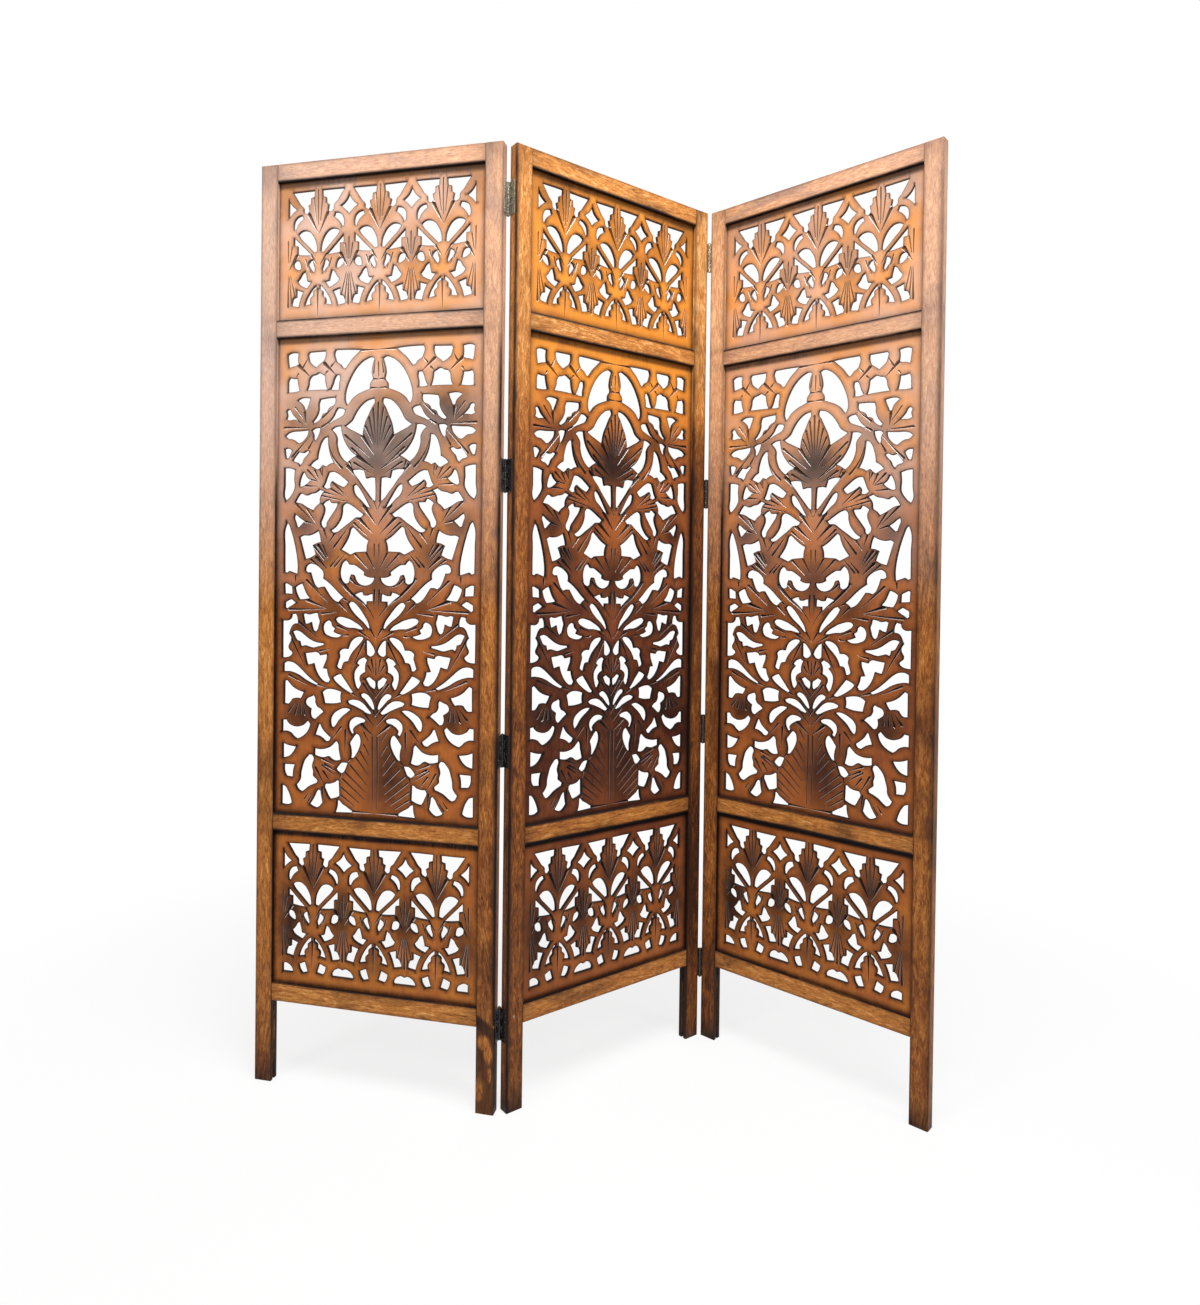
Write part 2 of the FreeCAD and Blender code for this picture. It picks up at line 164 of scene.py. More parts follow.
# %% A value in a material
class Value:
    """An output socket of a material's node tree, with sums that add Math nodes."""

    def __init__(self, tree, socket=None):
        self.tree = tree
        self.socket = socket

    def node(self, kind, settings=None, inputs=None, output=0):
        """Adds a node: its settings first, then numbers or links into its sockets."""
        node = self.tree.nodes.new(kind)
        for name, setting in (settings or {}).items():
            setattr(node, name, setting)
        for name, given in (inputs or {}).items():
            if isinstance(given, Value):
                self.tree.links.new(given.socket, node.inputs[name])
            elif isinstance(given, tuple) and node.inputs[name].type == "RGBA":
                node.inputs[name].default_value = (*given, 1.0)
            else:
                node.inputs[name].default_value = given
        return Value(self.tree, node.outputs[output])

    def math(self, operation, first, second):
        """A Math node's result for two values."""
        return self.node("ShaderNodeMath", {"operation": operation}, {0: first, 1: second})

    def mix(self, start, end):
        """A colour between start and end, with this value as the factor."""
        settings = {"data_type": "RGBA", "clamp_factor": True}
        return self.node("ShaderNodeMix", settings, {0: self, 6: start, 7: end}, output=2)

    def ramp(self, stops):
        """The colour for this value on a ramp, whose stops are positions and colours."""
        result = self.node("ShaderNodeValToRGB", {}, {"Fac": self})
        elements = result.socket.node.color_ramp.elements
        while len(elements) < len(stops):
            elements.new(1.0)
        for element, (position, colour) in zip(elements, stops):
            element.position = position
            element.color = (*colour, 1.0)
        return result

    def stretch(self, low, high, start=0.0, end=1.0):
        """Maps low..high to start..end, held at both ends."""
        given = {"Value": self, "From Min": low, "From Max": high, "To Min": start, "To Max": end}
        return self.node("ShaderNodeMapRange", {"clamp": True}, given)

    def swing(self, reach):
        """A noise made to swing about nothing: less its middle, times a reach."""
        return (self - 0.5) * reach

    def scaled(self, factors):
        """A vector with each of its numbers multiplied by its own factor."""
        return self.node("ShaderNodeVectorMath", {"operation": "MULTIPLY"}, {0: self, 1: factors})

    def __add__(self, other):
        return self.math("ADD", self, other)

    def __mul__(self, other):
        return self.math("MULTIPLY", self, other)

    def __sub__(self, other):
        return self.math("SUBTRACT", self, other)

    def __rsub__(self, other):
        return self.math("SUBTRACT", other, self)


def start_material(name):
    """A material with a Principled shader. Gives it, its shader and a value to start sums from."""
    material = bpy.data.materials.new(name)
    material.use_nodes = True
    tree = material.node_tree
    shader = next(node for node in tree.nodes if node.type == "BSDF_PRINCIPLED")
    return material, shader, Value(tree)


def feed(shader, name, value):
    """Puts a number, or a link, into one of the shader's sockets."""
    if isinstance(value, Value):
        value.tree.links.new(value.socket, shader.inputs[name])
    else:
        shader.inputs[name].default_value = value


def attribute(start, name, output="Fac"):
    """What a mesh stores under a name, read back in its material."""
    return start.node("ShaderNodeAttribute", {"attribute_name": name}, output=output)


def object_place(start):
    """Where the shaded point lies in its object's own frame, in metres."""
    return start.node("ShaderNodeTexCoord", output="Object")


def noise(place, scale, detail=3.0, distortion=0.0):
    """Noise at a place. A scale of three numbers stretches it, each along its own direction."""
    if isinstance(scale, tuple):
        place = place.scaled(scale)
        scale = 1.0
    given = {"Vector": place, "Scale": scale, "Detail": detail, "Distortion": distortion}
    return place.node("ShaderNodeTexNoise", {}, given)


def roughen(shader, height, strength, distance):
    """Tilts the shading by a height, with a Bump node."""
    given = {"Strength": strength, "Distance": distance, "Height": height}
    feed(shader, "Normal", height.node("ShaderNodeBump", {}, given))


# %% [markdown]
# Meshes here are all made the same way: numpy works out the points and faces, and one helper
# puts them into Blender with whatever each point carries for its material. A second helper
# takes a form that is drawn in its panel's own frame, and says what the piece belongs to.

# %% From arrays to a mesh
def make_piece(name, points, faces, carried, material):
    """A mesh object from arrays of points and faces. carried holds values per point for the
    material: a row of three makes a vector attribute, a single number a plain one."""
    mesh = bpy.data.meshes.new(name)
    mesh.from_pydata(points, [], faces)
    for label, values in carried.items():
        values = np.asarray(values, dtype=np.float32)
        if values.ndim == 2:
            mesh.attributes.new(label, "FLOAT_VECTOR", "POINT").data.foreach_set("vector", values.ravel())
        else:
            mesh.attributes.new(label, "FLOAT", "POINT").data.foreach_set("value", values)
    mesh.materials.append(material)
    mesh.update()
    piece = bpy.data.objects.new(name, mesh)
    bpy.context.scene.collection.objects.link(piece)
    return piece


def add_piece(name, panel, form, carried, material, slot, *nodes):
    """A form, as points and faces in its panel's own frame, made a piece in the room of the given
    material. Attaches it to the body it moves with and hides the nodes it stands for. The slot is not
    used."""
    points, faces = form
    piece = make_piece(name, to_room(panel, points), faces, carried, material)
    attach(piece, panel)
    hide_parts(*nodes)


# %% [markdown]
# The middle board shows a vase and the tree that grows from it. Only the left half is drawn, on
# squared paper, because the right half is its mirror image. A point is (squares across, squares
# up). These are the holes: what is left between them is the carving.

# %% The openings of the vase and the ground beside it
PAPER_ACROSS = (4, 440)
PAPER_UP = (2, 943)
VASE_OPENINGS = (
    ((18, 18), (18, 56), (26, 53), (33, 44), (38, 33), (41, 22), (37, 19)),
    ((23, 97), (47, 97.5), (44, 88), (43, 72), (28, 73), (24, 80)),
    ((20, 140), (29, 136.5), (49, 133.5), (44, 124), (34, 114), (20, 110)),
    ((18.5, 186), (28, 187), (33, 180), (44, 174.5), (64, 177.5), (69, 182), (74, 187), (80, 181),
     (77, 171), (69, 160), (60, 153.5), (50, 149.5), (43, 154), (37, 160), (29, 163.5), (18.5, 163.5)),
    ((98, 181), (102, 181), (108, 170.5), (116, 163), (125, 156), (121, 149.5), (114, 148), (107, 153),
     (100, 157), (90, 159.5), (93, 168)),
    ((90, 133.5), (102, 132), (112, 133), (123, 137), (131, 144), (137, 150), (140.5, 147), (144, 131),
     (148, 114), (134, 111), (127, 114), (121, 118.5), (109, 116), (101, 116.5), (90, 119.5)),
    ((80, 120), (86, 119), (89.5, 113), (87, 104), (86, 97), (88.5, 88), (89, 78), (94, 74), (98.5, 70),
     (97, 65), (89, 62), (79, 57), (69, 49), (63, 45), (57, 47), (50, 57), (59, 70), (60, 82), (63, 94),
     (67, 106), (73, 114)),
    ((100, 52), (105, 50), (106, 42), (109, 27), (101, 18), (95, 15), (88, 16.5), (80, 21), (85, 28),
     (91, 38), (95.5, 47)),
    ((113, 59), (116, 64.5), (126, 65), (136, 68.5), (140, 72), (145, 71.5), (146, 42), (137, 37.5),
     (125, 34.5), (121, 40), (117, 48)),
    ((141, 33.5), (147, 32), (151, 27.5), (162.5, 20.5), (173, 13.5), (172.5, 9.5), (136, 8), (139, 16)),
    ((149, 106.5), (163, 107), (160, 99), (154.5, 89), (148, 86), (141, 90.5), (138, 94), (143, 101)),
    ((181, 166), (187, 163), (190.5, 154.5), (190.5, 147), (187, 136), (181, 125), (175, 118), (169, 117),
     (170, 127), (168.5, 138), (166.5, 147), (170.5, 153), (175.5, 160)),
    ((186, 198.5), (194, 197), (201, 193.5), (198.5, 189.5), (192, 188), (184, 184), (177.5, 179),
     (174, 173), (176, 168), (171, 164), (167, 170), (164, 180), (165.5, 188), (171, 194), (178, 198)),
)

# %% The openings between the lower boughs
LOWER_OPENINGS = (
    ((69, 225), (72, 230), (80, 233.5), (88, 237), (91, 233), (92, 222), (97, 214), (103, 211),
     (109, 205), (103, 201), (97, 196), (90, 190), (83, 192), (80, 198), (81, 210), (75, 214),
     (69.5, 219)),
    ((126, 177), (124, 186), (125, 194), (130, 202), (138, 208), (148, 213), (158, 215), (168, 213),
     (160, 206), (151, 199), (143, 191), (136, 181), (131, 175.5)),
    ((161, 228), (168, 231.5), (178, 232.5), (188, 230.5), (197, 225), (205, 217), (213, 208), (209, 205),
     (200, 208), (191, 213), (182, 217), (172, 221), (164, 224)),
    ((189, 243), (195, 246), (203, 244.5), (210, 238.5), (216, 229), (219.5, 217), (216, 213.5),
     (210, 219), (203, 227), (196, 234.5), (190, 239)),
    ((106, 243), (110, 246.5), (148, 246), (146.5, 236), (147.5, 226), (135, 223), (111, 222),
     (109, 232)),
    ((22, 264), (28, 267), (33, 262), (41, 254), (51, 248), (66, 243), (62, 235), (58, 229.5), (49, 231),
     (41, 229.5), (37, 224), (33, 220), (22, 220)),
    ((20, 299), (26, 302.5), (34, 303), (43, 301), (52, 295.5), (62, 287), (72, 278), (83, 269),
     (97, 260), (93, 257), (80, 262), (68, 268), (55, 276), (42, 281.5), (30, 284), (20, 283.5)),
    ((129, 273), (135, 277), (147, 281.5), (152, 275), (159, 266), (167, 255), (173, 247.5), (168, 245.5),
     (158, 249), (148, 255), (139, 261.5), (132, 268)),
    ((180, 304), (184, 310), (191, 314), (197, 316), (203, 311), (200.5, 306), (198.5, 295), (199, 288),
     (193, 285), (188, 280), (187, 273), (190, 264), (187, 258), (184, 253), (180, 256), (176, 266),
     (174, 277), (175, 287), (180, 295), (185, 300)),
    ((199, 274), (204, 277), (208, 278), (214, 274), (220, 270), (220.5, 262), (218, 254), (213, 257),
     (206, 263), (203, 268)),
    ((200.5, 349), (206, 348), (213, 341), (218, 333), (220, 327), (215, 320), (207, 318), (201, 322)),
    ((137, 296), (141, 292), (148, 291), (150, 299), (153, 305), (162, 307), (165, 315), (171, 325),
     (179, 334), (187, 342), (195, 352), (193, 355), (183, 355), (173, 351), (166, 344), (163, 337),
     (161, 331), (146, 329), (142, 325), (143, 316), (140, 306)),
    ((67, 320), (80, 321.5), (92, 323), (98, 321), (101, 316.5), (109, 318), (116, 319), (115, 309),
     (111, 299), (108, 291), (117, 290), (119, 280), (124, 269), (121, 264), (113, 263.5), (105, 268),
     (97, 277), (91, 288), (87, 301), (80, 299), (73, 298), (70, 307)),
    ((39, 362), (46, 364.5), (56, 363), (66, 356.5), (76, 349.5), (88, 344), (108, 341), (108, 338),
     (97, 335), (83, 332), (72, 334.5), (66, 336), (59, 332.5), (56, 338), (55, 344), (48, 346),
     (43, 354)),
    ((120, 387), (124.5, 383), (126, 377), (132.5, 371.5), (129, 364.5), (137, 361), (147, 358.5),
     (141, 354.5), (130, 353.5), (118, 356), (109, 361), (106, 368), (106, 376), (110, 383), (115, 386)),
    ((62, 397), (66, 399), (76, 397.5), (85, 400), (95, 401), (96.5, 393), (99, 385), (97, 377),
     (94, 368), (90, 364), (85, 366), (82, 373), (80, 383), (74, 380), (66, 379), (64, 388)),
    ((17, 311), (17, 384), (31, 385), (36, 390), (37, 396), (47, 398), (50, 392), (51, 379), (42, 377),
     (37, 371), (34, 364), (31, 358), (36, 350), (36, 344), (33, 338), (31, 333), (33, 327), (37, 324),
     (40, 320), (38, 317)),
)

# %% The openings round the waist of the tree
WAIST_OPENINGS = (
    ((20, 481), (20, 530), (21, 570), (25, 580), (29, 577), (34, 566), (39, 551), (44, 532), (48, 512),
     (50, 495), (49.5, 477), (40, 480), (31, 483), (26, 479)),
    ((20, 457), (25, 458), (32, 455), (38, 452), (39, 437), (21, 438)),
    ((44, 450), (50, 454.5), (61, 458.5), (64, 452), (69, 441), (77.5, 430), (66, 428), (54, 427),
     (50, 433), (46, 442)),
    ((22, 420), (29, 424), (36, 427), (46, 420), (39, 415), (32, 411), (27, 407), (22, 410)),
    ((53, 550), (58, 553), (73, 553.5), (84, 557), (94, 563), (98, 552), (100, 540), (90, 538), (82, 534),
     (86, 525), (89, 516), (78, 510), (66, 507), (62, 520), (57, 537)),
    ((67, 484), (69, 493), (76, 497.5), (88, 496), (99, 490), (107, 481), (107, 469), (118, 462),
     (130, 452), (140, 442), (151, 432), (146, 429), (140, 423), (131, 426), (123, 433), (115, 444),
     (109, 453), (103, 453), (96, 450), (89, 455), (84, 464), (80, 475), (78, 481), (71, 481)),
    ((161, 419), (165, 423.5), (172, 423), (180, 417), (188, 408), (196, 397), (204, 385), (208, 373),
     (204, 371), (197, 379), (190, 386), (180, 394), (171, 403), (165, 411)),
    ((133, 389), (137, 393), (146, 394), (158, 391.5), (168, 388), (176, 383.5), (184, 379), (192, 372),
     (194, 369), (185, 370), (172, 372.5), (160, 373), (150, 376), (142, 380), (136, 384)),
    ((174, 437.5), (182, 441), (191, 443), (194, 436), (200, 435.5), (207, 438), (213, 439), (213.5, 425),
     (201, 425), (200, 415), (192, 423), (184, 430)),
    ((143, 478), (144, 490), (148, 500), (155, 505.5), (160, 501), (163, 497), (173, 496), (184, 490),
     (195, 482), (194, 476), (203, 472), (216, 471), (213, 463), (205, 457), (194, 455.5), (183, 459),
     (176, 467), (172, 476), (167, 477.5), (164, 470), (163, 463), (156, 459), (149, 463), (145, 470)),
    ((144, 526), (150, 534), (157, 545), (162, 557), (166, 568), (171, 570), (180, 562), (190, 553),
     (204, 544), (201, 536), (200, 523), (188, 522), (175, 521), (164, 516.5), (158, 519), (152, 522)),
)

# %% The openings between the upper boughs
UPPER_OPENINGS = (
    ((148, 612), (153, 616), (162, 614.5), (172, 609), (182, 602), (192, 595), (188, 590.5), (176, 589),
     (168, 583), (160, 577), (152, 571.5), (144, 565.5), (135, 560), (125, 559.5), (121, 563), (130, 569),
     (137, 577), (143, 587), (146, 598)),
    ((41, 590), (43, 596), (47, 594), (56, 587), (64, 582), (57, 575), (52, 570), (47, 571), (44, 580)),
    ((104, 615), (110, 620), (119, 624), (123, 617), (137, 616.5), (134, 608), (127, 598), (119, 587),
     (113, 578), (111, 570), (107, 567.5), (102, 570), (99, 577), (103, 588), (107, 598), (108, 606)),
    ((43, 620), (48, 629), (54, 636.5), (61, 636), (66, 633), (78, 636), (88, 638), (97, 644), (107, 640),
     (101, 633), (98, 624), (98, 618), (90, 611), (83, 603), (76, 606), (66, 611), (56, 617)),
    ((52, 652), (53, 661), (56, 671), (60, 678.5), (64, 678), (69, 669), (77, 663), (71, 657), (62, 652),
     (56, 649.5)),
    ((19, 687), (27, 687), (42, 683), (41, 668), (41, 645), (36, 636), (28, 627), (22, 623), (19, 628),
     (19, 655)),
    ((19, 725), (30, 725), (35, 721), (31, 712), (27, 706), (22, 706), (20, 715)),
    ((36.5, 702), (42, 710), (50, 719), (60, 717), (68, 721), (73, 719), (68, 712), (62, 706), (58, 697),
     (53, 692), (47, 698), (40, 700)),
    ((20, 751), (26, 756), (35, 759), (50, 760), (71, 762), (69, 752), (63, 744), (56, 738), (49, 736),
     (43, 740), (36, 744), (27, 745)),
    ((78, 761), (84, 765), (97, 765.5), (95, 757), (91, 748), (86, 741), (82, 745), (82, 752)),
    ((75, 692), (80, 698), (91, 705), (92, 716), (95, 728), (100, 740), (107, 747), (113, 748),
     (114, 736), (117, 719), (122, 706), (127, 697), (119, 695), (111, 689.5), (103, 693), (97, 687),
     (91, 683.5), (83, 688)),
    ((121, 762), (130, 767), (142, 768), (144, 755), (149, 740), (156, 728), (166, 716), (176, 709),
     (167, 704), (156, 696), (149, 701), (141, 710), (136, 720), (133, 732), (132, 748), (127, 756)),
    ((105, 650), (109, 657), (113, 668), (117, 678), (127, 679), (137, 675), (148, 667), (159, 658),
     (155, 652), (150, 648), (142, 651), (132, 656), (125, 661), (121, 655), (122, 648), (114, 645.5)),
    ((170, 650), (174, 653), (179, 650), (187, 640), (195, 627), (206, 608), (201, 609), (193, 615),
     (184, 624), (175, 632), (171, 640)),
    ((167, 681), (180, 682), (193, 679), (195, 671), (197, 664), (207, 666), (216, 665), (217, 645),
     (217, 620), (210, 624), (200, 636), (188, 651), (177, 666), (169, 676)),
    ((151, 768), (159, 773), (166, 779), (171, 788), (178, 799), (187, 809), (198, 816.5), (212, 820),
     (214, 814), (208, 802), (201, 787), (194, 772), (191, 760), (189, 748), (182, 751), (168, 758),
     (158, 763)),
)

# %% The openings of the arch and the lattice in its corners
ARCH_OPENINGS = (
    ((155, 808), (151, 818), (151, 830), (155, 846), (162, 862), (171, 877), (182, 889), (194, 897),
     (207, 900.5), (213, 897), (209, 884), (207, 870), (209, 857), (204, 850), (203, 839), (192, 835),
     (178, 829), (166, 820), (159, 811)),
    ((126, 910), (129, 917), (155, 917), (184, 915.5), (176, 908), (165, 898), (157, 888), (151, 880),
     (146, 881), (140, 888), (131, 894), (128, 901)),
    ((69, 911), (72, 915), (107, 915.5), (107, 905), (103, 896), (96, 891), (88, 884), (80, 889),
     (72, 897), (70, 904)),
    ((24, 912), (29, 915), (48, 914.5), (47, 902), (48, 893), (42, 890), (36, 889), (27, 886), (25, 898)),
    ((26, 862), (29, 867), (38, 865), (46, 865), (47, 857), (49, 848), (51, 840), (40, 838), (25, 838),
     (25, 850)),
    ((67, 840), (71, 850), (73, 862), (78, 868), (86, 870), (94, 873), (102, 869), (107, 866), (108, 856),
     (110, 847), (113, 839.5), (90, 840)),
    ((119, 840), (124, 850), (128, 862), (132, 868), (139, 867), (140, 860), (138, 850), (138, 839),
     (128, 838)),
    ((47, 821), (52, 824), (76, 824), (73, 815), (70, 808), (68, 802), (62, 802), (60, 809), (55, 815)),
    ((94, 812), (97, 821), (110, 823), (130, 824), (130, 814), (127, 809), (120, 806), (115, 802),
     (112, 796), (103, 793), (98, 784), (92, 779), (83, 775), (80, 778), (86, 785), (91, 793), (94, 803)),
    ((22, 800), (26, 804), (30, 803), (35, 795), (41, 788), (47, 783), (37, 783), (29, 782), (22, 785),
     (24, 792)),
    ((130, 796), (135, 803), (147, 801), (151, 798), (147, 789), (138, 784), (126, 779), (117, 775),
     (114, 776), (121, 782), (127, 790)),
)
TREE_OPENINGS = VASE_OPENINGS + LOWER_OPENINGS + WAIST_OPENINGS + UPPER_OPENINGS + ARCH_OPENINGS
print("Openings in half of the tree:", len(TREE_OPENINGS))

# %% [markdown]
# The top and bottom boards repeat one palmette three times. Half of it is drawn, measured
# sideways from its own middle, and it is turned over for the other half. Between two palmettes
# stand a star and, on the bottom board, a low dome, which are drawn from the line between them.

# %% The openings of a palmette
BAND_REPEATS = 3
BAND_REPEAT = 132
PALMETTE_OPENINGS = (
    ((57, 283), (8, 283), (9, 270), (16.5, 268), (17, 257), (22.5, 254), (20, 243), (25, 238), (32, 242),
     (34, 252), (41, 259), (47, 268)),
    ((54, 209), (55, 219), (52, 229), (45, 235), (36, 237), (33, 229), (40, 224), (46, 217), (50, 208)),
    ((45, 200), (37, 205.5), (27, 206), (18, 201), (11, 192), (6, 181), (4, 164), (10, 162), (19, 171),
     (30, 182), (40, 192)),
    ((54, 194), (16, 157), (32, 158), (46, 160), (46, 177), (54, 178)),
    ((54, 137), (54, 145), (49, 149), (43, 147), (39, 140), (38, 131), (42, 129.5), (50, 133)),
    ((23, 140), (17, 147.5), (13, 149), (11, 140), (8, 129), (10, 123), (15, 128), (20, 135)),
    ((46, 108), (40, 115), (35, 123), (29, 127), (26, 117), (24, 107), (15, 105), (24, 93), (34, 97),
     (43, 103)),
    ((48, 91), (32.5, 86), (38, 74), (43, 57), (59, 60), (58, 67), (55, 75), (48, 77)),
    ((3.5, 99), (3.5, 91), (10, 87), (11, 78), (16, 74), (16, 62), (30, 59), (26, 71), (19, 83),
     (12, 92)),
)
LOWEST_ROW_OPENING = ((30, 43), (16, 49), (13, 40), (9.5, 29), (22, 26), (27, 32))
STAR_HALF = ((0, 271), (6, 259), (18, 248.5), (9, 242), (0, 232))
DOME_HALF = ((0, 41), (7, 43.5), (14, 41), (20, 36), (23, 28), (22, 26), (0, 26))
BAND_UP = {"bottom_board": (4, 308), "top_board": (31, 301)}

# %% [markdown]
# Over the pierced shapes the carver ran a V-shaped gouge, for veins, for the fans of the
# palmettes and for the fluting of the vase. A cut starts wide at its first point and runs out to
# a fine end at its last. There are three gouges: fine, plain and broad.

# %% The gouge cuts of the tree
VASE_CUTS = {
    "fine": (
        ((196, 172), (209, 150)), ((196, 148), (211, 122)), ((188, 134), (208, 103)),
        ((179, 121), (208, 84)), ((167, 105), (206, 64)), ((156, 91), (204, 49)), ((150, 78), (202, 35)),
        ((147, 61), (191, 28)), ((147, 45), (180, 22)), ((217, 165), (217, 16)), ((68, 28), (80, 45)),
        ((75, 22), (88, 42)),
    ),
    "plain": (
        ((158, 175), (157, 122)), ((150, 180), (128, 152)), ((104, 115), (138, 101)),
        ((110, 105), (143, 88)), ((106, 103), (139, 80)), ((109, 92), (128, 67)), ((92, 99), (115, 60)),
        ((108, 60), (112, 28)), ((30, 200), (50, 225)), ((45, 195), (55, 225)), ((58, 195), (60, 225)),
        ((70, 195), (65, 222)), ((169, 117), (161, 107)), ((150, 88), (146, 72)), ((146, 42), (143, 33)),
        ((170, 13), (222, 12)),
    ),
    "broad": (((190, 187), (219, 162)),),
}
LOWER_CUTS = {
    "fine": (((222, 280), (222, 318)),),
    "plain": (
        ((30, 362), (70, 291)), ((50, 385), (98, 349)), ((93, 260), (120, 252)), ((30, 278), (78, 256)),
        ((135, 378), (165, 365)), ((165, 359), (147, 357)), ((97, 325), (124, 331)),
        ((198, 348), (166, 285)), ((183, 368), (213, 350)), ((208, 373), (222, 351)),
        ((203, 303), (216, 283)), ((193, 268), (214, 238)), ((200, 270), (228, 232)),
        ((168, 248), (186, 237)), ((195, 210), (222, 179)), ((213, 218), (228, 195)),
        ((212, 315), (218, 283)),
    ),
    "broad": (),
}
WAIST_CUTS = {
    "fine": (((103, 537), (117, 508)), ((217, 540), (217, 510)), ((205, 441), (213, 428))),
    "plain": (
        ((46, 476), (46, 457)), ((68, 468), (120, 420)), ((28, 406), (60, 407), (118, 411)),
        ((100, 400), (140, 404)), ((140, 424), (162, 402)), ((150, 431), (163, 424)),
        ((165, 471), (175, 460), (196, 452)), ((83, 535), (112, 500)), ((76, 508), (100, 491)),
        ((105, 568), (114, 543)), ((133, 560), (115, 535)), ((121, 490), (143, 515)),
        ((130, 490), (157, 520)), ((127, 527), (165, 576)), ((173, 520), (206, 485)),
        ((198, 522), (217, 488)), ((170, 580), (205, 550)), ((217, 450), (217, 405)),
    ),
    "broad": (
        ((67, 428), (115, 411)), ((142, 470), (150, 459), (172, 437), (198, 417), (212, 400), (220, 386)),
        ((92, 537), (115, 505)), ((88, 513), (117, 486)), ((180, 590), (216, 556)),
    ),
}
UPPER_CUTS = {
    "fine": (((100, 632), (160, 619)), ((103, 690), (104, 667)), ((75, 665), (95, 660))),
    "plain": (
        ((60, 652), (97, 650)), ((33, 706), (82, 757)), ((70, 722), (88, 752)), ((15, 767), (75, 766)),
        ((98, 766), (130, 784)), ((148, 683), (130, 702), (120, 720), (113, 746)),
        ((148, 752), (208, 702)), ((163, 726), (205, 690)), ((160, 700), (168, 684)),
        ((168, 697), (210, 672)), ((85, 685), (98, 660)), ((68, 685), (95, 660)), ((95, 690), (104, 668)),
        ((123, 660), (162, 625)), ((120, 646), (150, 630)), ((105, 639), (136, 631)),
        ((42, 620), (82, 582)), ((67, 610), (90, 575)), ((63, 582), (87, 575)), ((222, 814), (222, 722)),
        ((211, 803), (219, 726)), ((202, 786), (216, 728)), ((194, 768), (213, 728)),
    ),
    "broad": (
        ((175, 709), (217, 681)), ((187, 750), (215, 708)), ((155, 692), (213, 622), (222, 602)),
        ((191, 614), (221, 573)),
    ),
}
ARCH_CUTS = {
    "fine": (
        ((222, 893), (222, 858)), ((233, 865), (229, 895)), ((40, 810), (62, 782)),
        ((45, 783), (60, 772)),
    ),
    "plain": (
        ((50, 876), (43, 866)), ((57, 883), (70, 905)), ((118, 882), (130, 895)),
        ((115, 877), (104, 867)), ((100, 783), (130, 808)), ((183, 914), (224, 914)),
        ((209, 857), (224, 857)), ((203, 840), (224, 840)),
    ),
    "broad": (((46, 893), (75, 866)), ((102, 894), (131, 867)), ((63, 800), (66, 772))),
}
TREE_CUTS = (VASE_CUTS, LOWER_CUTS, WAIST_CUTS, UPPER_CUTS, ARCH_CUTS)

# %% The gouge cuts of the bands
PALMETTE_CUTS = {
    "fine": (((0, 286), (0, 210)), ((10, 270), (4, 218)), ((22, 148), (16, 118)), ((29, 152), (22, 128))),
    "plain": (((18, 160), (2, 135)), ((0, 95), (0, 36))),
    "broad": (((22, 240), (0, 196)),),
}
BETWEEN_CUTS = {
    "fine": (((0, 190), (0, 140)), ((9, 178), (3, 142)), ((8, 60), (2, 118)), ((16, 72), (4, 121))),
    "plain": (((0, 54), (0, 122)),),
    "broad": (((20, 160), (1, 128)),),
}

# %% [markdown]
# A fretsaw leaves round curves and crisp corners. So each outline becomes a smooth curve through
# its points, but wherever it turns sharply the corner stays. The sums run on all chords of an
# outline at once.

# %% From drawn points to sawn curves
CORNER_TURN_DEG = 52.0
SAW_STEP = 0.0019


def unit(vectors):
    """Each row of an array, scaled to a length of one."""
    return vectors / np.linalg.norm(vectors, axis=-1, keepdims=True)


def even_steps(lengths, spacing):
    """Cuts each chord of a path into even steps, at most spacing long. Gives, for each step, the
    number of its chord and how far along the chord it starts, as a share."""
    steps = np.maximum(1, np.ceil(lengths / spacing)).astype(int)
    index = np.repeat(np.arange(len(lengths)), steps)
    first = np.repeat(np.cumsum(steps) - steps, steps)
    return index, (np.arange(steps.sum()) - first) / steps[index]


def sawn_curve(points, closed=True, spacing=SAW_STEP):
    """A curve through points. Each chord is a Hermite curve: a blend of its ends and of the
    directions there. A direction is the mean of the two chords that meet, weighted by the
    other's length. At a sharp corner it is the chord's own, bent to match its far end."""
    after = np.roll(points, -1, axis=0) - points
    before = np.roll(after, 1, axis=0)
    if not closed:
        before[0] = after[0]
        after[-1] = before[-1]
    span, span_before = np.linalg.norm(after, axis=1), np.linalg.norm(before, axis=1)
    turn = np.degrees(np.arccos(np.clip((unit(after) * unit(before)).sum(axis=1), -1, 1)))
    corner = turn > CORNER_TURN_DEG
    if not closed:
        corner[[0, -1]] = True
    mean = unit(unit(before) * span[:, None] + unit(after) * span_before[:, None])
    chord = unit(after)
    leaving, arriving = mean, np.roll(mean, -1, axis=0)
    far_corner = np.roll(corner, -1)

    def bent(direction):
        """The direction turned over about the chord, half way back to it."""
        return unit(chord + 2 * (direction * chord).sum(axis=1, keepdims=True) * chord - direction)

    start = np.where(corner[:, None], np.where(far_corner[:, None], chord, bent(arriving)), leaving)
    end = np.where(far_corner[:, None], np.where(corner[:, None], chord, bent(leaving)), arriving)
    index, share = even_steps(span if closed else span[:-1], spacing)
    near, far = points[index], np.roll(points, -1, axis=0)[index]
    t, reach = share[:, None], span[index][:, None]
    curve = near * (2 * t**3 - 3 * t**2 + 1) + far * (3 * t**2 - 2 * t**3)
    curve = curve + reach * (start[index] * (t**3 - 2 * t**2 + t) + end[index] * (t**3 - t**2))
    return curve if closed else np.vstack((curve, points[-1:]))


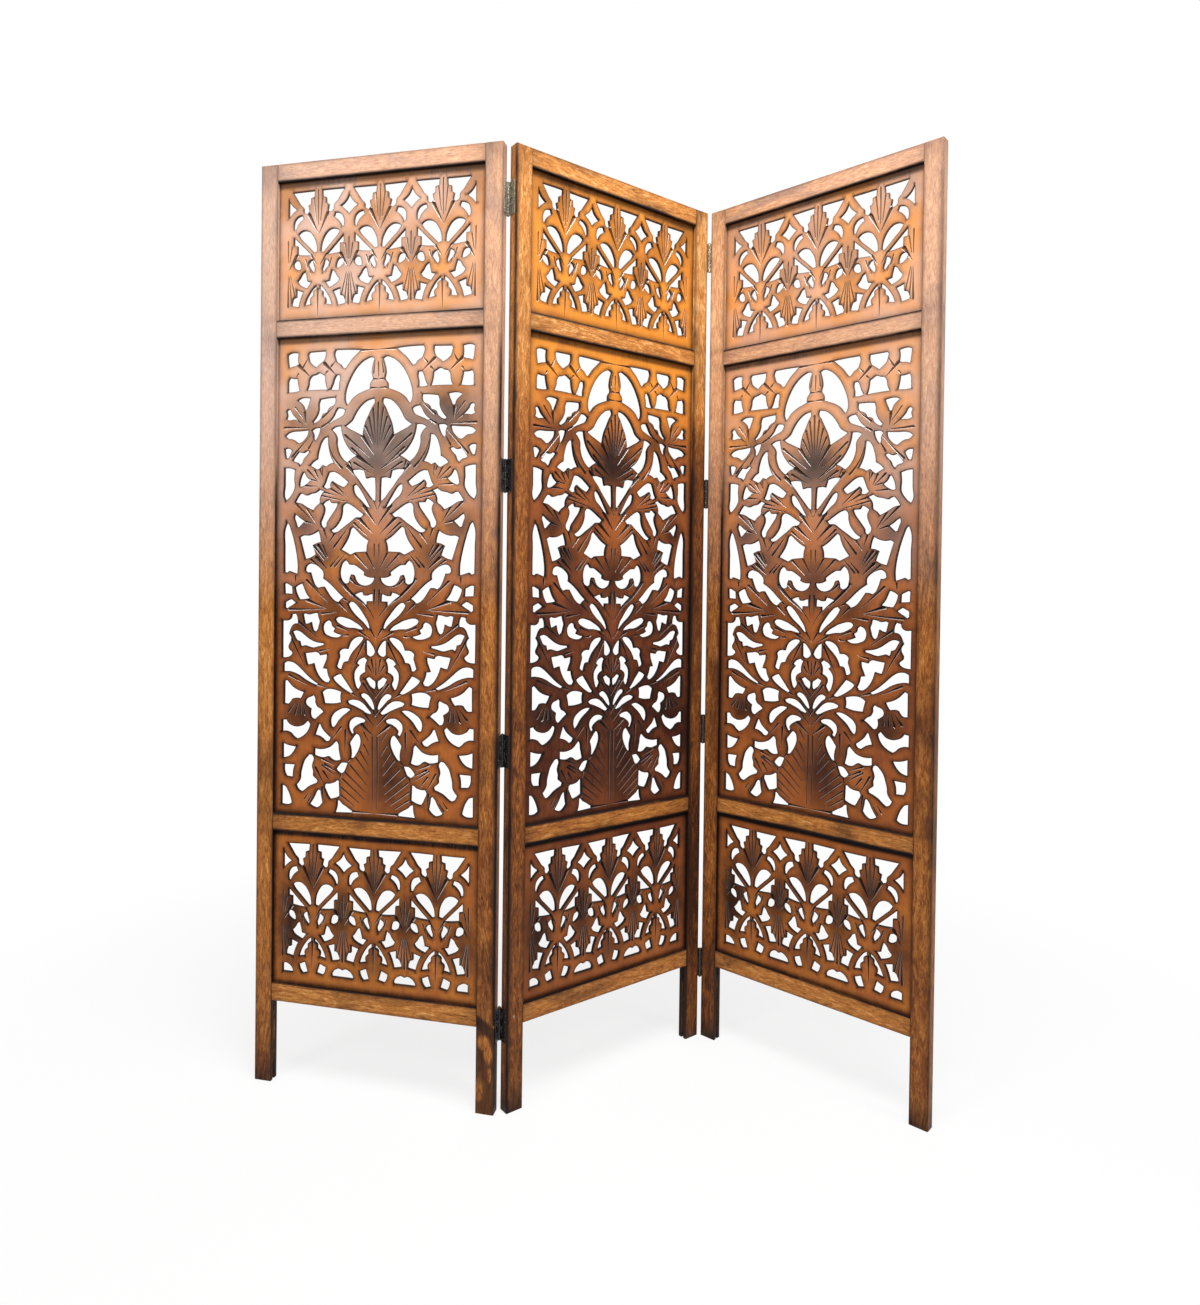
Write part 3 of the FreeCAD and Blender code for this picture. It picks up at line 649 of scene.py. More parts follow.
def anticlockwise(outline):
    """The outline, turned round if it runs clockwise, by the sign of its area."""
    x, z = outline.T
    area = (x * np.roll(z, -1) - np.roll(x, -1) * z).sum()
    return outline if area > 0 else outline[::-1]


# %% Placing the paper's squares on the boards
SQUARE_WIDE = FIELD_WIDTH / (PAPER_ACROSS[1] - PAPER_ACROSS[0])


def on_tree(points, side):
    """Points of the tree's paper, on the left half of a panel for side 1 and mirrored for -1."""
    foot, top = FIELDS["middle_board"]
    across, up = np.array(points, dtype=float).T
    x = STILE_WIDTH + (across - PAPER_ACROSS[0]) * SQUARE_WIDE
    z = foot + (up - PAPER_UP[0]) * (top - foot) / (PAPER_UP[1] - PAPER_UP[0])
    return np.column_stack((x if side > 0 else PANEL_WIDTH - x, z))


def on_band(board, points, axis, side):
    """Points drawn from an upright axis of a band, to its right for side 1 and left for -1."""
    foot, top = FIELDS[board]
    low, high = BAND_UP[board]
    across, up = np.array(points, dtype=float).T
    x = PANEL_WIDTH / 2 + (axis + side * across) * SQUARE_WIDE
    return np.column_stack((x, foot + (up - low) * (top - foot) / (high - low)))


def band_axes():
    """The middles of the palmettes, and the lines between them with the sides that they have."""
    palmettes = [(index - (BAND_REPEATS - 1) / 2) * BAND_REPEAT for index in range(BAND_REPEATS)]
    between = []
    for index in range(BAND_REPEATS + 1):
        sides = [side for side in (-1, 1) if 0 < index + (side + 1) / 2 <= BAND_REPEATS]
        between.append(((index - BAND_REPEATS / 2) * BAND_REPEAT, sides))
    return palmettes, between


def whole_between(board, half, axis, sides):
    """An opening on the line between palmettes: both halves joined, or the one half there is."""
    if len(sides) == 1:
        return on_band(board, half, axis, sides[0])
    right = on_band(board, half, axis, 1)
    left = on_band(board, half, axis, -1)
    return np.vstack((right, left[-2:0:-1]))


def board_outlines(board):
    """Every opening of a board as a smooth closed outline, in the panel's own frame."""
    drawn = []
    if board == "middle_board":
        for side in (1, -1):
            drawn += [on_tree(points, side) for points in TREE_OPENINGS]
    else:
        palmettes, between = band_axes()
        lowest = (LOWEST_ROW_OPENING,) if board == "bottom_board" else ()
        for axis in palmettes:
            for side in (1, -1):
                drawn += [on_band(board, points, axis, side) for points in PALMETTE_OPENINGS + lowest]
        halves = (STAR_HALF, DOME_HALF) if board == "bottom_board" else (STAR_HALF,)
        for axis, sides in between:
            drawn += [whole_between(board, half, axis, sides) for half in halves]
    return [anticlockwise(sawn_curve(points)) for points in drawn]


OUTLINES = {board: board_outlines(board) for board in FIELDS}
for board, found in OUTLINES.items():
    print(board, "has", len(found), "openings, drawn by", sum(len(line) for line in found), "points")

# %% [markdown]
# Each gouge cut is a long thin leaf. Its middle line is as deep as the gouge's slope makes it at
# that width, and its two edges lie in the board's face. The same leaf later tells how deep any
# point of the face lies.

# %% The gouge cuts as leaves
GOUGE_HALF_WIDTHS = {"fine": 0.0022, "plain": 0.0032, "broad": 0.0048}
GOUGE_EXIT_SHARES = {"fine": 0.5, "plain": 0.2, "broad": 0.15}
GOUGE_SLOPE = 0.75
GOUGE_ENTRY = 0.003
CUT_STEP = 0.004
# Where a painted highlight lies on the cuts' lips: the band between these shares of the half width, on
# cuts wider than this, on walls that face the light this way, and how fast it comes on as they turn to it
GLINT_BAND = (0.7, 1.05)
GLINT_MIN_WIDTH = 0.0006
GLINT_LIGHT_FACING = (-0.6, 0.8)
GLINT_GAIN = 1.5


def gouge_cut(points, gouge):
    """A cut's middle line, and its half width at each of its points: it opens over the entry's
    length, then narrows evenly to the exit's share, and closes again over the last stretch."""
    line = sawn_curve(points, closed=False, spacing=CUT_STEP)
    steps = np.linalg.norm(np.diff(line, axis=0), axis=1)
    gone = np.concatenate(((0.0,), np.cumsum(steps)))
    length = gone[-1]
    narrowing = 1 - (1 - GOUGE_EXIT_SHARES[gouge]) * gone / length
    opening = np.minimum(1, np.minimum(gone, length - gone) / GOUGE_ENTRY)
    return line, GOUGE_HALF_WIDTHS[gouge] * narrowing * opening


def board_cuts(board):
    """Every gouge cut of a board, as pairs of a middle line and its half widths."""
    placed = []
    if board == "middle_board":
        for group in TREE_CUTS:
            for gouge, drawn in group.items():
                for side in (1, -1):
                    placed += [(on_tree(points, side), gouge) for points in drawn]
    else:
        palmettes, between = band_axes()
        groups = [(PALMETTE_CUTS, axis, (1, -1)) for axis in palmettes]
        groups += [(BETWEEN_CUTS, axis, sides) for axis, sides in between]
        for gouge in GOUGE_HALF_WIDTHS:
            for group, axis, sides in groups:
                for side in sides:
                    placed += [(on_band(board, points, axis, side), gouge) for points in group[gouge]]
    foot, top = FIELDS[board]
    lines = []
    for points, gouge in placed:
        if foot < points[:, 1].min() and points[:, 1].max() < top:
            lines.append(gouge_cut(points, gouge))
    return lines


CUT_LINES = {board: board_cuts(board) for board in FIELDS}
print("Gouge cuts:", {board: len(found) for board, found in CUT_LINES.items()})

# %% [markdown]
# Two questions come up again and again: how far is a point from a line, and is it inside an
# outline. Both are answered for many points at once, and only for those near the line.

# %% Distances and insides
def near_path(points, path, reach):
    """Which points lie within reach of the box round a path."""
    low, high = path.min(axis=0) - reach, path.max(axis=0) + reach
    return np.nonzero(((points > low) & (points < high)).all(axis=1))[0]


def gaps_to(points, path, closed):
    """Each point's distance from each chord of a path, and how far along the chord its foot is."""
    ends = np.roll(path, -1, axis=0)
    starts = path if closed else path[:-1]
    chords = (ends if closed else ends[:-1]) - starts
    away = points[:, None] - starts
    share = np.clip((away * chords).sum(axis=2) / (chords**2).sum(axis=1), 0, 1)
    return np.linalg.norm(away - share[..., None] * chords, axis=2), share


def distance_to(points, paths, reach):
    """Each point's distance from the nearest of some closed outlines, held at reach."""
    nearest = np.full(len(points), reach)
    for path in paths:
        near = near_path(points, path, reach)
        if len(near):
            gaps, share = gaps_to(points[near], path, True)
            nearest[near] = np.minimum(nearest[near], gaps.min(axis=1))
    return nearest


def cut_depth(points, lines):
    """How deep the gouge cuts lie below each point: the slope times what the half width of the
    nearest stretch exceeds the point's distance by."""
    deepest = np.zeros(len(points))
    for line, half_width in lines:
        near = near_path(points, line, half_width.max())
        if len(near):
            gaps, share = gaps_to(points[near], line, False)
            width = half_width[:-1] + share * np.diff(half_width)
            deepest[near] = np.maximum(deepest[near], (width - gaps).max(axis=1) * GOUGE_SLOPE)
    return deepest


def painted_glint_on_lips(points, lines):
    """How much painted highlight each point gets: at the edge of a cut, on the wall that faces up and left
    towards the light, and more the straighter it faces that way. A point's side of its nearest stretch is
    the sign of its offset across that stretch, and the wall there faces the other way."""
    rubbed = np.zeros(len(points))
    band_from, band_to = GLINT_BAND
    for line, half_width in lines:
        near = near_path(points, line, half_width.max() * band_to)
        if len(near):
            gaps, share = gaps_to(points[near], line, False)
            nearest = gaps.argmin(axis=1)
            along = unit(np.diff(line, axis=0))[nearest]
            across = np.column_stack((-along[:, 1], along[:, 0]))
            offset = ((points[near] - line[nearest]) * across).sum(axis=1)
            own_share = share[np.arange(len(near)), nearest]
            width = half_width[nearest] + own_share * np.diff(half_width)[nearest]
            in_band = (np.abs(offset) > band_from * width) & (gaps.min(axis=1) < band_to * width)
            facing = -np.sign(offset) * (across * GLINT_LIGHT_FACING).sum(axis=1)
            marked_share = in_band * (width > GLINT_MIN_WIDTH) * np.clip(GLINT_GAIN * facing, 0, 1)
            rubbed[near] = np.maximum(rubbed[near], marked_share)
    return rubbed


def inside(points, outline):
    """Whether each point is inside an outline: a line from it crosses the outline an odd number
    of times."""
    x, z = points[:, :1], points[:, 1:]
    x0, z0 = outline.T
    x1, z1 = np.roll(outline, -1, axis=0).T
    crosses = (z0 > z) != (z1 > z)
    rise = np.where(z1 == z0, 1.0, z1 - z0)
    return (crosses & (x < x0 + (z - z0) * (x1 - x0) / rise)).sum(axis=1) % 2 == 1


# %% [markdown]
# The face of a board is a flat net of triangles with the outlines and the gouge leaves as fixed
# lines in it. Loose points fill the rest: rows beside each opening, where the scorched rim fades,
# and an even pattern elsewhere. A constrained triangulation joins them all.

# %% The net of triangles of a board's face
FACE_GRID = 0.007
BACK_GRID = 0.014
FILLING_CLEAR = 0.0045
# Each row beside an opening: how far out it lies, and of how many outline points it takes one
RIM_ROWS = ((0.001, 2), (0.0032, 3))
RIM_CLEAR_SHARE = 0.9
MERGE_DISTANCE = 1e-7
ON_OUTLINE = 1e-6


def box_corners(low, high):
    """The four corners of a flat box, anticlockwise."""
    return np.array(((low[0], low[1]), (high[0], low[1]), (high[0], high[1]), (low[0], high[1])))


def straight_steps(points, spacing):
    """Points along the straight sides of a closed path, at most spacing apart."""
    sides = np.roll(points, -1, axis=0) - points
    index, share = even_steps(np.linalg.norm(sides, axis=1), spacing)
    return points[index] + share[:, None] * sides[index]


def filling(low, high, spacing, paths):
    """Points in even rows, every second row shifted by half, clear of the paths."""
    rows = np.arange(low[1] + spacing / 2, high[1] - spacing / 3, spacing * math.sqrt(3) / 2)
    columns = np.arange(low[0] + spacing / 3, high[0] - spacing / 3, spacing)
    x, z = np.meshgrid(columns, rows)
    x = x + (np.arange(len(rows)) % 2)[:, None] * spacing / 2
    points = np.column_stack((x.ravel(), z.ravel()))
    points = points[points[:, 0] < high[0] - spacing / 3]
    return points[distance_to(points, paths, FILLING_CLEAR) >= FILLING_CLEAR]


def moved_out(path, offset):
    """An outline moved along its normal, away from the opening."""
    along = unit(np.roll(path, -1, axis=0) - np.roll(path, 1, axis=0))
    return path + offset * np.column_stack((along[:, 1], -along[:, 0]))


def rim_points(paths, low, high):
    """Rows of points beside the openings, where no other opening comes nearer."""
    rows = []
    for offset, stride in RIM_ROWS:
        row = np.vstack([moved_out(path, offset)[::stride] for path in paths])
        clear = distance_to(row, paths, offset) >= RIM_CLEAR_SHARE * offset
        within = ((row > low + offset / 2) & (row < high - offset / 2)).all(axis=1)
        rows.append(row[clear & within])
    return np.vstack(rows)


def ring_edges(start, count):
    """The edges that close a ring of points, numbered from start."""
    index = np.arange(count)
    return np.column_stack((start + index, start + (index + 1) % count))


def triangulate(points, edges, paths):
    """Joins points into triangles that keep the given edges, and leaves out those in openings.
    Gives the points, the triangles and, for each point given, its new number."""
    found = delaunay_2d_cdt(points.tolist(), edges.tolist(), [], 0, MERGE_DISTANCE, True)
    new_points = np.array([tuple(point) for point in found[0]])
    triangles = np.array(found[2])
    numbers = np.full(len(points), -1)
    for new, old in enumerate(found[3]):
        numbers[old] = new
    middles = new_points[triangles].mean(axis=1)
    gone = np.zeros(len(triangles), dtype=bool)
    for path in paths:
        near = near_path(middles, path, 0.0)
        gone[near] |= inside(middles[near], path)
    return new_points, triangles[~gone], numbers


def open_edges(triangles):
    """The directed edges that only one triangle has: the outlines that are left."""
    directed = np.vstack([triangles[:, pair] for pair in ((0, 1), (1, 2), (2, 0))]).astype(np.int64)
    size = directed.max() + 1
    forward = directed[:, 0] * size + directed[:, 1]
    backward = directed[:, 1] * size + directed[:, 0]
    return directed[~np.isin(forward, backward)]


def only_used(points, triangles, extra):
    """Drops the points that nothing uses, and renumbers the triangles and extra edges."""
    used = np.unique(triangles)
    numbers = np.full(len(points), -1)
    numbers[used] = np.arange(len(used))
    return points[used], numbers[triangles], numbers[extra]


# %% A whole board: face, back and the walls between
EDGE_SOFTENING = 0.0004
SCORCH_FADE = 0.0012
SCORCH_REACH = 0.014
HALO_FADE = 0.0048


def face_net(paths, lines, low, high):
    """The front's net: outlines, gouge leaves, rim rows and filling. Gives points and triangles."""
    rings = [straight_steps(box_corners(low, high), BACK_GRID)] + paths
    points, edges, count = [], [], 0
    for ring in rings:
        points.append(ring)
        edges.append(ring_edges(count, len(ring)))
        count += len(ring)
    leaves = []
    for line, half_width in lines:
        along = unit(np.gradient(line, axis=0))
        sideways = np.column_stack((along[:, 1], -along[:, 0])) * half_width[:, None]
        leaf = np.vstack((line + sideways, (line - sideways)[-2:0:-1]))
        points += [leaf, line[1:-1]]
        edges.append(ring_edges(count, len(leaf)))
        inner = count + len(leaf) + np.arange(len(line) - 2)
        middle = np.concatenate(((count,), inner, (count + len(line) - 1,)))
        edges.append(np.column_stack((middle[:-1], middle[1:])))
        count += len(leaf) + len(line) - 2
        leaves.append(leaf)
    points.append(rim_points(paths, low, high))
    points.append(filling(low, high, FACE_GRID, paths + leaves))
    return triangulate(np.vstack(points), np.vstack(edges), paths)[:2]


def board_form(board):
    """One board as numpy arrays: points, faces, how scorched each point is at its opening's rim and in the
    halo round it, how deep it is carved, and how much painted highlight it gets."""
    paths, lines = OUTLINES[board], CUT_LINES[board]
    low, high = own_box("left_panel", "left_panel_" + board)
    low, high = low[[0, 2]], high[[0, 2]]
    flat, triangles = face_net(paths, lines, low, high)
    flat, triangles, rim = only_used(flat, triangles, open_edges(triangles))
    rim_numbers = np.unique(rim)
    back_of = np.full(len(flat), -1)
    back_of[rim_numbers] = np.arange(len(rim_numbers))
    loose = (rim_points(paths, low, high), filling(low, high, BACK_GRID, paths))
    back_flat = np.vstack((flat[rim_numbers], *loose))
    back_flat, back_triangles, numbers = triangulate(back_flat, back_of[rim], paths)
    front_gap = distance_to(flat, paths, SCORCH_REACH)
    back_gap = distance_to(back_flat, paths, SCORCH_REACH)
    depth = cut_depth(flat, lines)
    front_y = BOARD_FRONT + depth + EDGE_SOFTENING * (front_gap < ON_OUTLINE)
    back_y = BOARD_BACK - EDGE_SOFTENING * (back_gap < ON_OUTLINE)
    points = np.vstack((
        np.column_stack((flat[:, 0], front_y, flat[:, 1])),
        np.column_stack((back_flat[:, 0], back_y, back_flat[:, 1])),
    ))
    back_rim = len(flat) + numbers[back_of[rim]]
    walls = np.column_stack((rim[:, 1], rim[:, 0], back_rim[:, 0], back_rim[:, 1]))
    faces = triangles.tolist() + (len(flat) + back_triangles[:, ::-1]).tolist() + walls.tolist()
    gap = np.concatenate((front_gap, back_gap))
    form = {"points": points, "faces": faces}
    form["burn"] = np.exp(-gap / SCORCH_FADE)
    form["halo"] = np.exp(-((gap / HALO_FADE) ** 2))
    for name, values in (("carved", depth), ("rubbed", painted_glint_on_lips(flat, lines))):
        form[name] = np.concatenate((values, np.zeros(len(back_flat))))
    return form


BOARD_FORMS = {board: board_form(board) for board in FIELDS}
for board, form in BOARD_FORMS.items():
    print(board, "has", len(form["points"]), "points and", len(form["faces"]), "faces")

# %% [markdown]
# The boards are stained and lacquered. The stain was sprayed and is cloudy everywhere, and its depth also
# carries painted light: it is honey coloured at the top, where the light is strongest, deep brown round
# the middle and a warm brown low down. The openings were scorched, so their rims and walls are nearly
# black. Lacquer has pooled in the gouge cuts, and their dark also stands for painted shade in their
# hollows. A painted highlight lies on the lips of the cuts that face the light, and a painted pale sheen
# over the tops of two panels. Painted shade lies along the frame, and a painted shadow under each rail.
# The mesh carries all of this to the material: where each point is on its board, how deep its stain and
# painted light are, how scorched and shaded, smoked, highlighted and sheened it is, and how deep a cut
# lies there.

# %% The finish of the carved boards
HONEY = (0.66, 0.235, 0.030)
AMBER = (0.385, 0.115, 0.025)
BROWN = (0.195, 0.054, 0.019)
DEEP = (0.052, 0.014, 0.007)
# Smoke, which also serves as the painted shade along the frame
SMOKE_AND_SHADE = (0.020, 0.009, 0.007)
# Char of the scorched rims, which also serves as the painted shadow under the rails
CHAR_AND_SHADE = (0.007, 0.0035, 0.003)
# Pooled lacquer in the gouge cuts, whose dark also stands for painted shade in their hollows
LACQUER_AND_SHADE = (0.009, 0.004, 0.003)
# A painted pale sheen, laid over the upper parts of two panels
PAINTED_SHEEN = (0.60, 0.43, 0.36)
# A painted highlight, laid on the lips of the cuts that face the light
PAINTED_GLINT_COLOUR = (0.80, 0.62, 0.55)
# The ramp from the depth of the stain and painted light to a colour
STAIN_AND_LIGHT_STOPS = ((0.0, HONEY), (0.34, AMBER), (0.70, BROWN), (1.0, DEEP))
STAIN_AND_LIGHT_DEEPEST = 1.2
CLOUD_SCALE = 9.0
MOTTLE_SCALE = 60.0
FIBRE_SCALES = (420.0, 420.0, 30.0)
# How far each noise swings the stain and painted light, and how far the mottle swings the smoke and
# painted shade
CLOUD_SWING = 0.7
MOTTLE_SWING = 0.35
FIBRE_SWING = 0.3
SMOKE_AND_SHADE_SWING = 0.7
# What goes into stretch: a band that rises from nothing to one, or a band and its two results.
# Those in millimetres are depths of a cut.
SHEEN_BY_SHADE = (0.0, 1.0, 1.0, 0.35)
SHEEN_BY_CLOUD = (0.35, 0.65, 0.3, 1.3)
POOL_AND_SHADE_MM = (0.06, 0.42)
POOL_AND_SHADE_BY_TONE = (0.0, 0.5, 0.75, 0.97)
GLINT_RISE = (0.3, 0.65)
GLINT_MM = (0.0, 0.04)
GLINT_BY_TONE = (0.0, 0.4, 0.95, 0.55)
BURN_AND_SHADE_RISE = (0.2, 0.8)
CHAR_AND_SHADE_BY_TONE = (0.0, 0.4, 0.6, 1.0)
SHINE_FROM_MM = (0.02, 0.2)
SHINE_TO_MM = (0.5, 1.0, 1.0, 0.0)
ROUGHNESS_BY_FIBRE = (0.3, 0.7, 0.32, 0.46)
BURN_AND_SHADE_ROUGHNESS = 0.2
BOARD_GLOSS = 0.1
LIP_ROUGHNESS = 0.12


def make_board_finish():
    """Stained wood with painted light in its depth, then smoke with painted shade, a painted pale sheen,
    pooled lacquer with painted shade in the cuts, a painted highlight on the cuts' lips, and scorching
    with a painted shadow, laid over each other in that order, from what each board's mesh carries. Smoke
    of a strength v covers (2 - v) times v."""
    material, shader, start = start_material("carved_board_finish")
    place = attribute(start, "place", "Vector")
    names = ("burn", "shade", "cut", "rubbed", "stain_and_light", "sheen")
    burn, shade, cut, rubbed, depth, sheen = (attribute(start, name) for name in names)
    cloud = noise(place, CLOUD_SCALE)
    mottle = noise(place, MOTTLE_SCALE, detail=4.0)
    fibre = noise(place, FIBRE_SCALES)
    depth = depth + cloud.swing(CLOUD_SWING) + mottle.swing(MOTTLE_SWING) + fibre.swing(FIBRE_SWING)
    stain_and_light = depth.stretch(0.0, STAIN_AND_LIGHT_DEEPEST).ramp(STAIN_AND_LIGHT_STOPS)
    veil = (shade + mottle.swing(SMOKE_AND_SHADE_SWING) * shade).stretch(0.0, 1.0)
    smoked_and_shaded = ((2.0 - veil) * veil).mix(stain_and_light, SMOKE_AND_SHADE)
    sheen_share = sheen * shade.stretch(*SHEEN_BY_SHADE) * cloud.stretch(*SHEEN_BY_CLOUD)
    sheened = sheen_share.stretch(0.0, 1.0).mix(smoked_and_shaded, PAINTED_SHEEN)
    pooled_and_shaded = (cut.stretch(*POOL_AND_SHADE_MM) * depth.stretch(*POOL_AND_SHADE_BY_TONE)).mix(sheened, LACQUER_AND_SHADE)
    glint = rubbed.stretch(*GLINT_RISE) * cut.stretch(*GLINT_MM) * depth.stretch(*GLINT_BY_TONE)
    scorched_and_shaded = burn.stretch(*BURN_AND_SHADE_RISE)
    charred_and_shaded = scorched_and_shaded * depth.stretch(*CHAR_AND_SHADE_BY_TONE)
    feed(shader, "Base Color", charred_and_shaded.mix(glint.mix(pooled_and_shaded, PAINTED_GLINT_COLOUR), CHAR_AND_SHADE))
    feed(shader, "Roughness", fibre.stretch(*ROUGHNESS_BY_FIBRE) + scorched_and_shaded * BURN_AND_SHADE_ROUGHNESS)
    feed(shader, "Specular IOR Level", BOARD_GLOSS)
    feed(shader, "Coat Weight", cut.stretch(*SHINE_FROM_MM) * cut.stretch(*SHINE_TO_MM))
    feed(shader, "Coat Roughness", LIP_ROUGHNESS)
    roughen(shader, fibre, strength=0.25, distance=0.0004)
    return material


# %% [markdown]
# No two hand-sawn boards are quite alike. Each panel's copy of a board is bent a little by slow waves,
# which die out towards the frame so that the board still fits its grooves. The smoky shading sits where it
# does on the real screen: on the flower, on the vase and in the corners. Painted shade runs along the
# frame beside each board, and a painted shadow lies under the rail above it. Each panel has a stain of its
# own, deeper or paler with painted light, and its own painted pale sheen.

# %% Laying the boards into the panels
HAND_WANDER = 0.0008
WAVE_LENGTH = 0.19
STILL_MARGIN = 0.03
# Of the waves across and up: how far a panel's wave is shifted from the last one's, and how much
# slower the wave is the other way
WAVE_SHIFTS = (2.1, 1.3)
SLOWER_SHARES = (0.7, 0.6)
# How far apart the panels' boards lie in the noise, so that no two are clouded alike
NOISE_STEP = 3.7
# Smoky spots on the paper: the middle across and up, the reach each way, and how strong it is
SMOKE_SPOTS = {
    "middle_board": (
        (222, 716, 58, 56, 0.88), (345, 770, 50, 36, 0.5), (90, 765, 50, 30, 0.5), (222, 480, 45, 50, 0.5),
        (250, 95, 44, 80, 0.6), (222, 230, 45, 45, 0.5), (60, 200, 36, 36, 0.6), (380, 200, 36, 36, 0.6),
        (100, 520, 36, 36, 0.5), (340, 520, 36, 36, 0.5), (60, 580, 30, 30, 0.6), (390, 580, 30, 30, 0.6),
        (130, 420, 36, 50, 0.4), (310, 420, 36, 50, 0.4), (60, 380, 36, 45, 0.4), (390, 380, 36, 45, 0.4),
    ),
    "bottom_board": (
        (42, 130, 34, 100, 0.76), (152, 150, 28, 60, 0.68), (290, 150, 28, 60, 0.64),
        (410, 110, 40, 70, 0.45), (88, 215, 22, 40, 0.60), (222, 215, 22, 40, 0.65),
        (356, 215, 22, 40, 0.65), (222, 60, 60, 40, 0.35),
    ),
    "top_board": (
        (60, 240, 70, 50, 0.4), (400, 250, 60, 60, 0.4), (222, 200, 40, 60, 0.3), (152, 130, 30, 50, 0.4),
        (290, 130, 30, 50, 0.4), (350, 190, 40, 50, 0.25),
    ),
}
# Painted shade along the stiles and the rail below each board, where it sits in its recess: how dark it is
# at the frame, and how fast it fades away
BOARD_EDGE_PAINTED_SHADE = 0.7
BOARD_EDGE_SHADE_FADE = 0.006
HALO_SMOKE = 0.42
# A painted shadow on the board under the rail above: how dark it is, and how far down it reaches
RAIL_PAINTED_SHADOW = 1.0
RAIL_SHADOW_FADE = 0.012
LEFT_SMOKE = ((235, 745, 115, 90, 0.88), (360, 790, 80, 60, 0.80), (60, 790, 50, 60, 0.50))

# Of each panel: the depth of its stain and painted light low down, how much deeper it gets at its deepest
# height, and the two heights between which it turns pale. The pale tops and the middle panel's deeper tone
# are painted light and shade.
STAIN_AND_LIGHT_DEPTHS = {
    "left_panel": (0.30, 0.26, 1.10, 1.50),
    "middle_panel": (0.52, 0.60, 1.26, 1.45),
    "right_panel": (0.35, 0.32, 1.14, 1.40),
}
DEEPEST_HEIGHT = 0.75
DEEPEST_REACH = 0.30

# Each panel's painted pale sheen at its left and right sides, and the heights between which it comes on
SHEEN_SHARES = {"left_panel": (0.68, 0.42), "middle_panel": (0.0, 0.0), "right_panel": (0.28, 0.50)}
SHEEN_HEIGHTS = (0.95, 1.30)

# How much of the painted highlight at the cuts' edges each panel keeps
GLINT_SHARES = {"left_panel": 1.0, "middle_panel": 0.5, "right_panel": 0.7}


def bell(values, middle, width):
    """A smooth bump of height one round a middle."""
    return np.exp(-(((values - middle) / width) ** 2))


def stain_and_light_depth(panel, heights, bell_share=1.0):
    """How deep the stain and painted light are at each height: a low value plus a bell at the deepest
    height, times what is left of a smooth step that rises where it turns pale, which is painted light at
    the top. The frame takes only a share of the bell."""
    low, deeper, pale_from, pale_to = STAIN_AND_LIGHT_DEPTHS[panel]
    share = np.clip((heights - pale_from) / (pale_to - pale_from), 0, 1)
    pale = share * share * (3 - 2 * share)
    return (low + bell_share * deeper * bell(heights, DEEPEST_HEIGHT, DEEPEST_REACH)) * (1 - pale)


def sheen_on(panel, points):
    """How strong the painted pale sheen is: a share that rises with the height, and that changes evenly
    across the panel."""
    left, right = SHEEN_SHARES[panel]
    across = points[:, 0] / PANEL_WIDTH
    risen = np.clip((points[:, 2] - SHEEN_HEIGHTS[0]) / (SHEEN_HEIGHTS[1] - SHEEN_HEIGHTS[0]), 0, 1)
    return (left + (right - left) * across) * risen


def wandered(points, low, high, panel_number):
    """Points moved across and up by slow waves, a sine of the one times a cosine of the other,
    that die out at the edges."""
    x, y, z = points.T
    margin = np.minimum(np.minimum(x - low[0], high[0] - x), np.minimum(z - low[2], high[2] - z))
    size = HAND_WANDER * np.clip(margin / STILL_MARGIN, 0, 1)
    turn = 2 * math.pi / WAVE_LENGTH
    shift_x = size * np.sin(turn * z + WAVE_SHIFTS[0] * panel_number) * np.cos(turn * x * SLOWER_SHARES[0])
    shift_z = size * np.sin(turn * x + WAVE_SHIFTS[1] * panel_number) * np.cos(turn * z * SLOWER_SHARES[1])
    return np.column_stack((x + shift_x, y, z + shift_z))


def smoke_and_shade_on(panel, board, form):
    """How much each point is smoked and shaded: smoke in bells round the smoke spots and halos round the
    openings, and painted shade that fades out from the frame. The left panel's middle board is smoked over
    a wider ground."""
    foot, top = FIELDS[board]
    x, z = form["points"][:, 0], form["points"][:, 2]
    total = HALO_SMOKE * form["halo"]
    extra = LEFT_SMOKE if (panel, board) == ("left_panel", "middle_board") else ()
    for across, up, wide, high, strength in SMOKE_SPOTS[board] + extra:
        middle_x = STILE_WIDTH + (across - PAPER_ACROSS[0]) * SQUARE_WIDE
        middle_z = foot + up * SQUARE_WIDE
        spot = bell(x, middle_x, wide * SQUARE_WIDE) * bell(z, middle_z, high * SQUARE_WIDE)
        total = np.maximum(total, strength * spot)
    edge = np.minimum(np.minimum(x - STILE_WIDTH, PANEL_WIDTH - STILE_WIDTH - x), z - foot)
    return np.maximum(total, BOARD_EDGE_PAINTED_SHADE * np.exp(-np.maximum(edge, 0) / BOARD_EDGE_SHADE_FADE))


def burn_and_shadow_on(board, form):
    """How scorched and shaded each point is: scorching at the openings' rims, and a painted shadow under
    the rail above.
    """
    gap = np.maximum(FIELDS[board][1] - form["points"][:, 2], 0)
    return np.maximum(form["burn"], RAIL_PAINTED_SHADOW * np.exp(-((gap / RAIL_SHADOW_FADE) ** 4)))


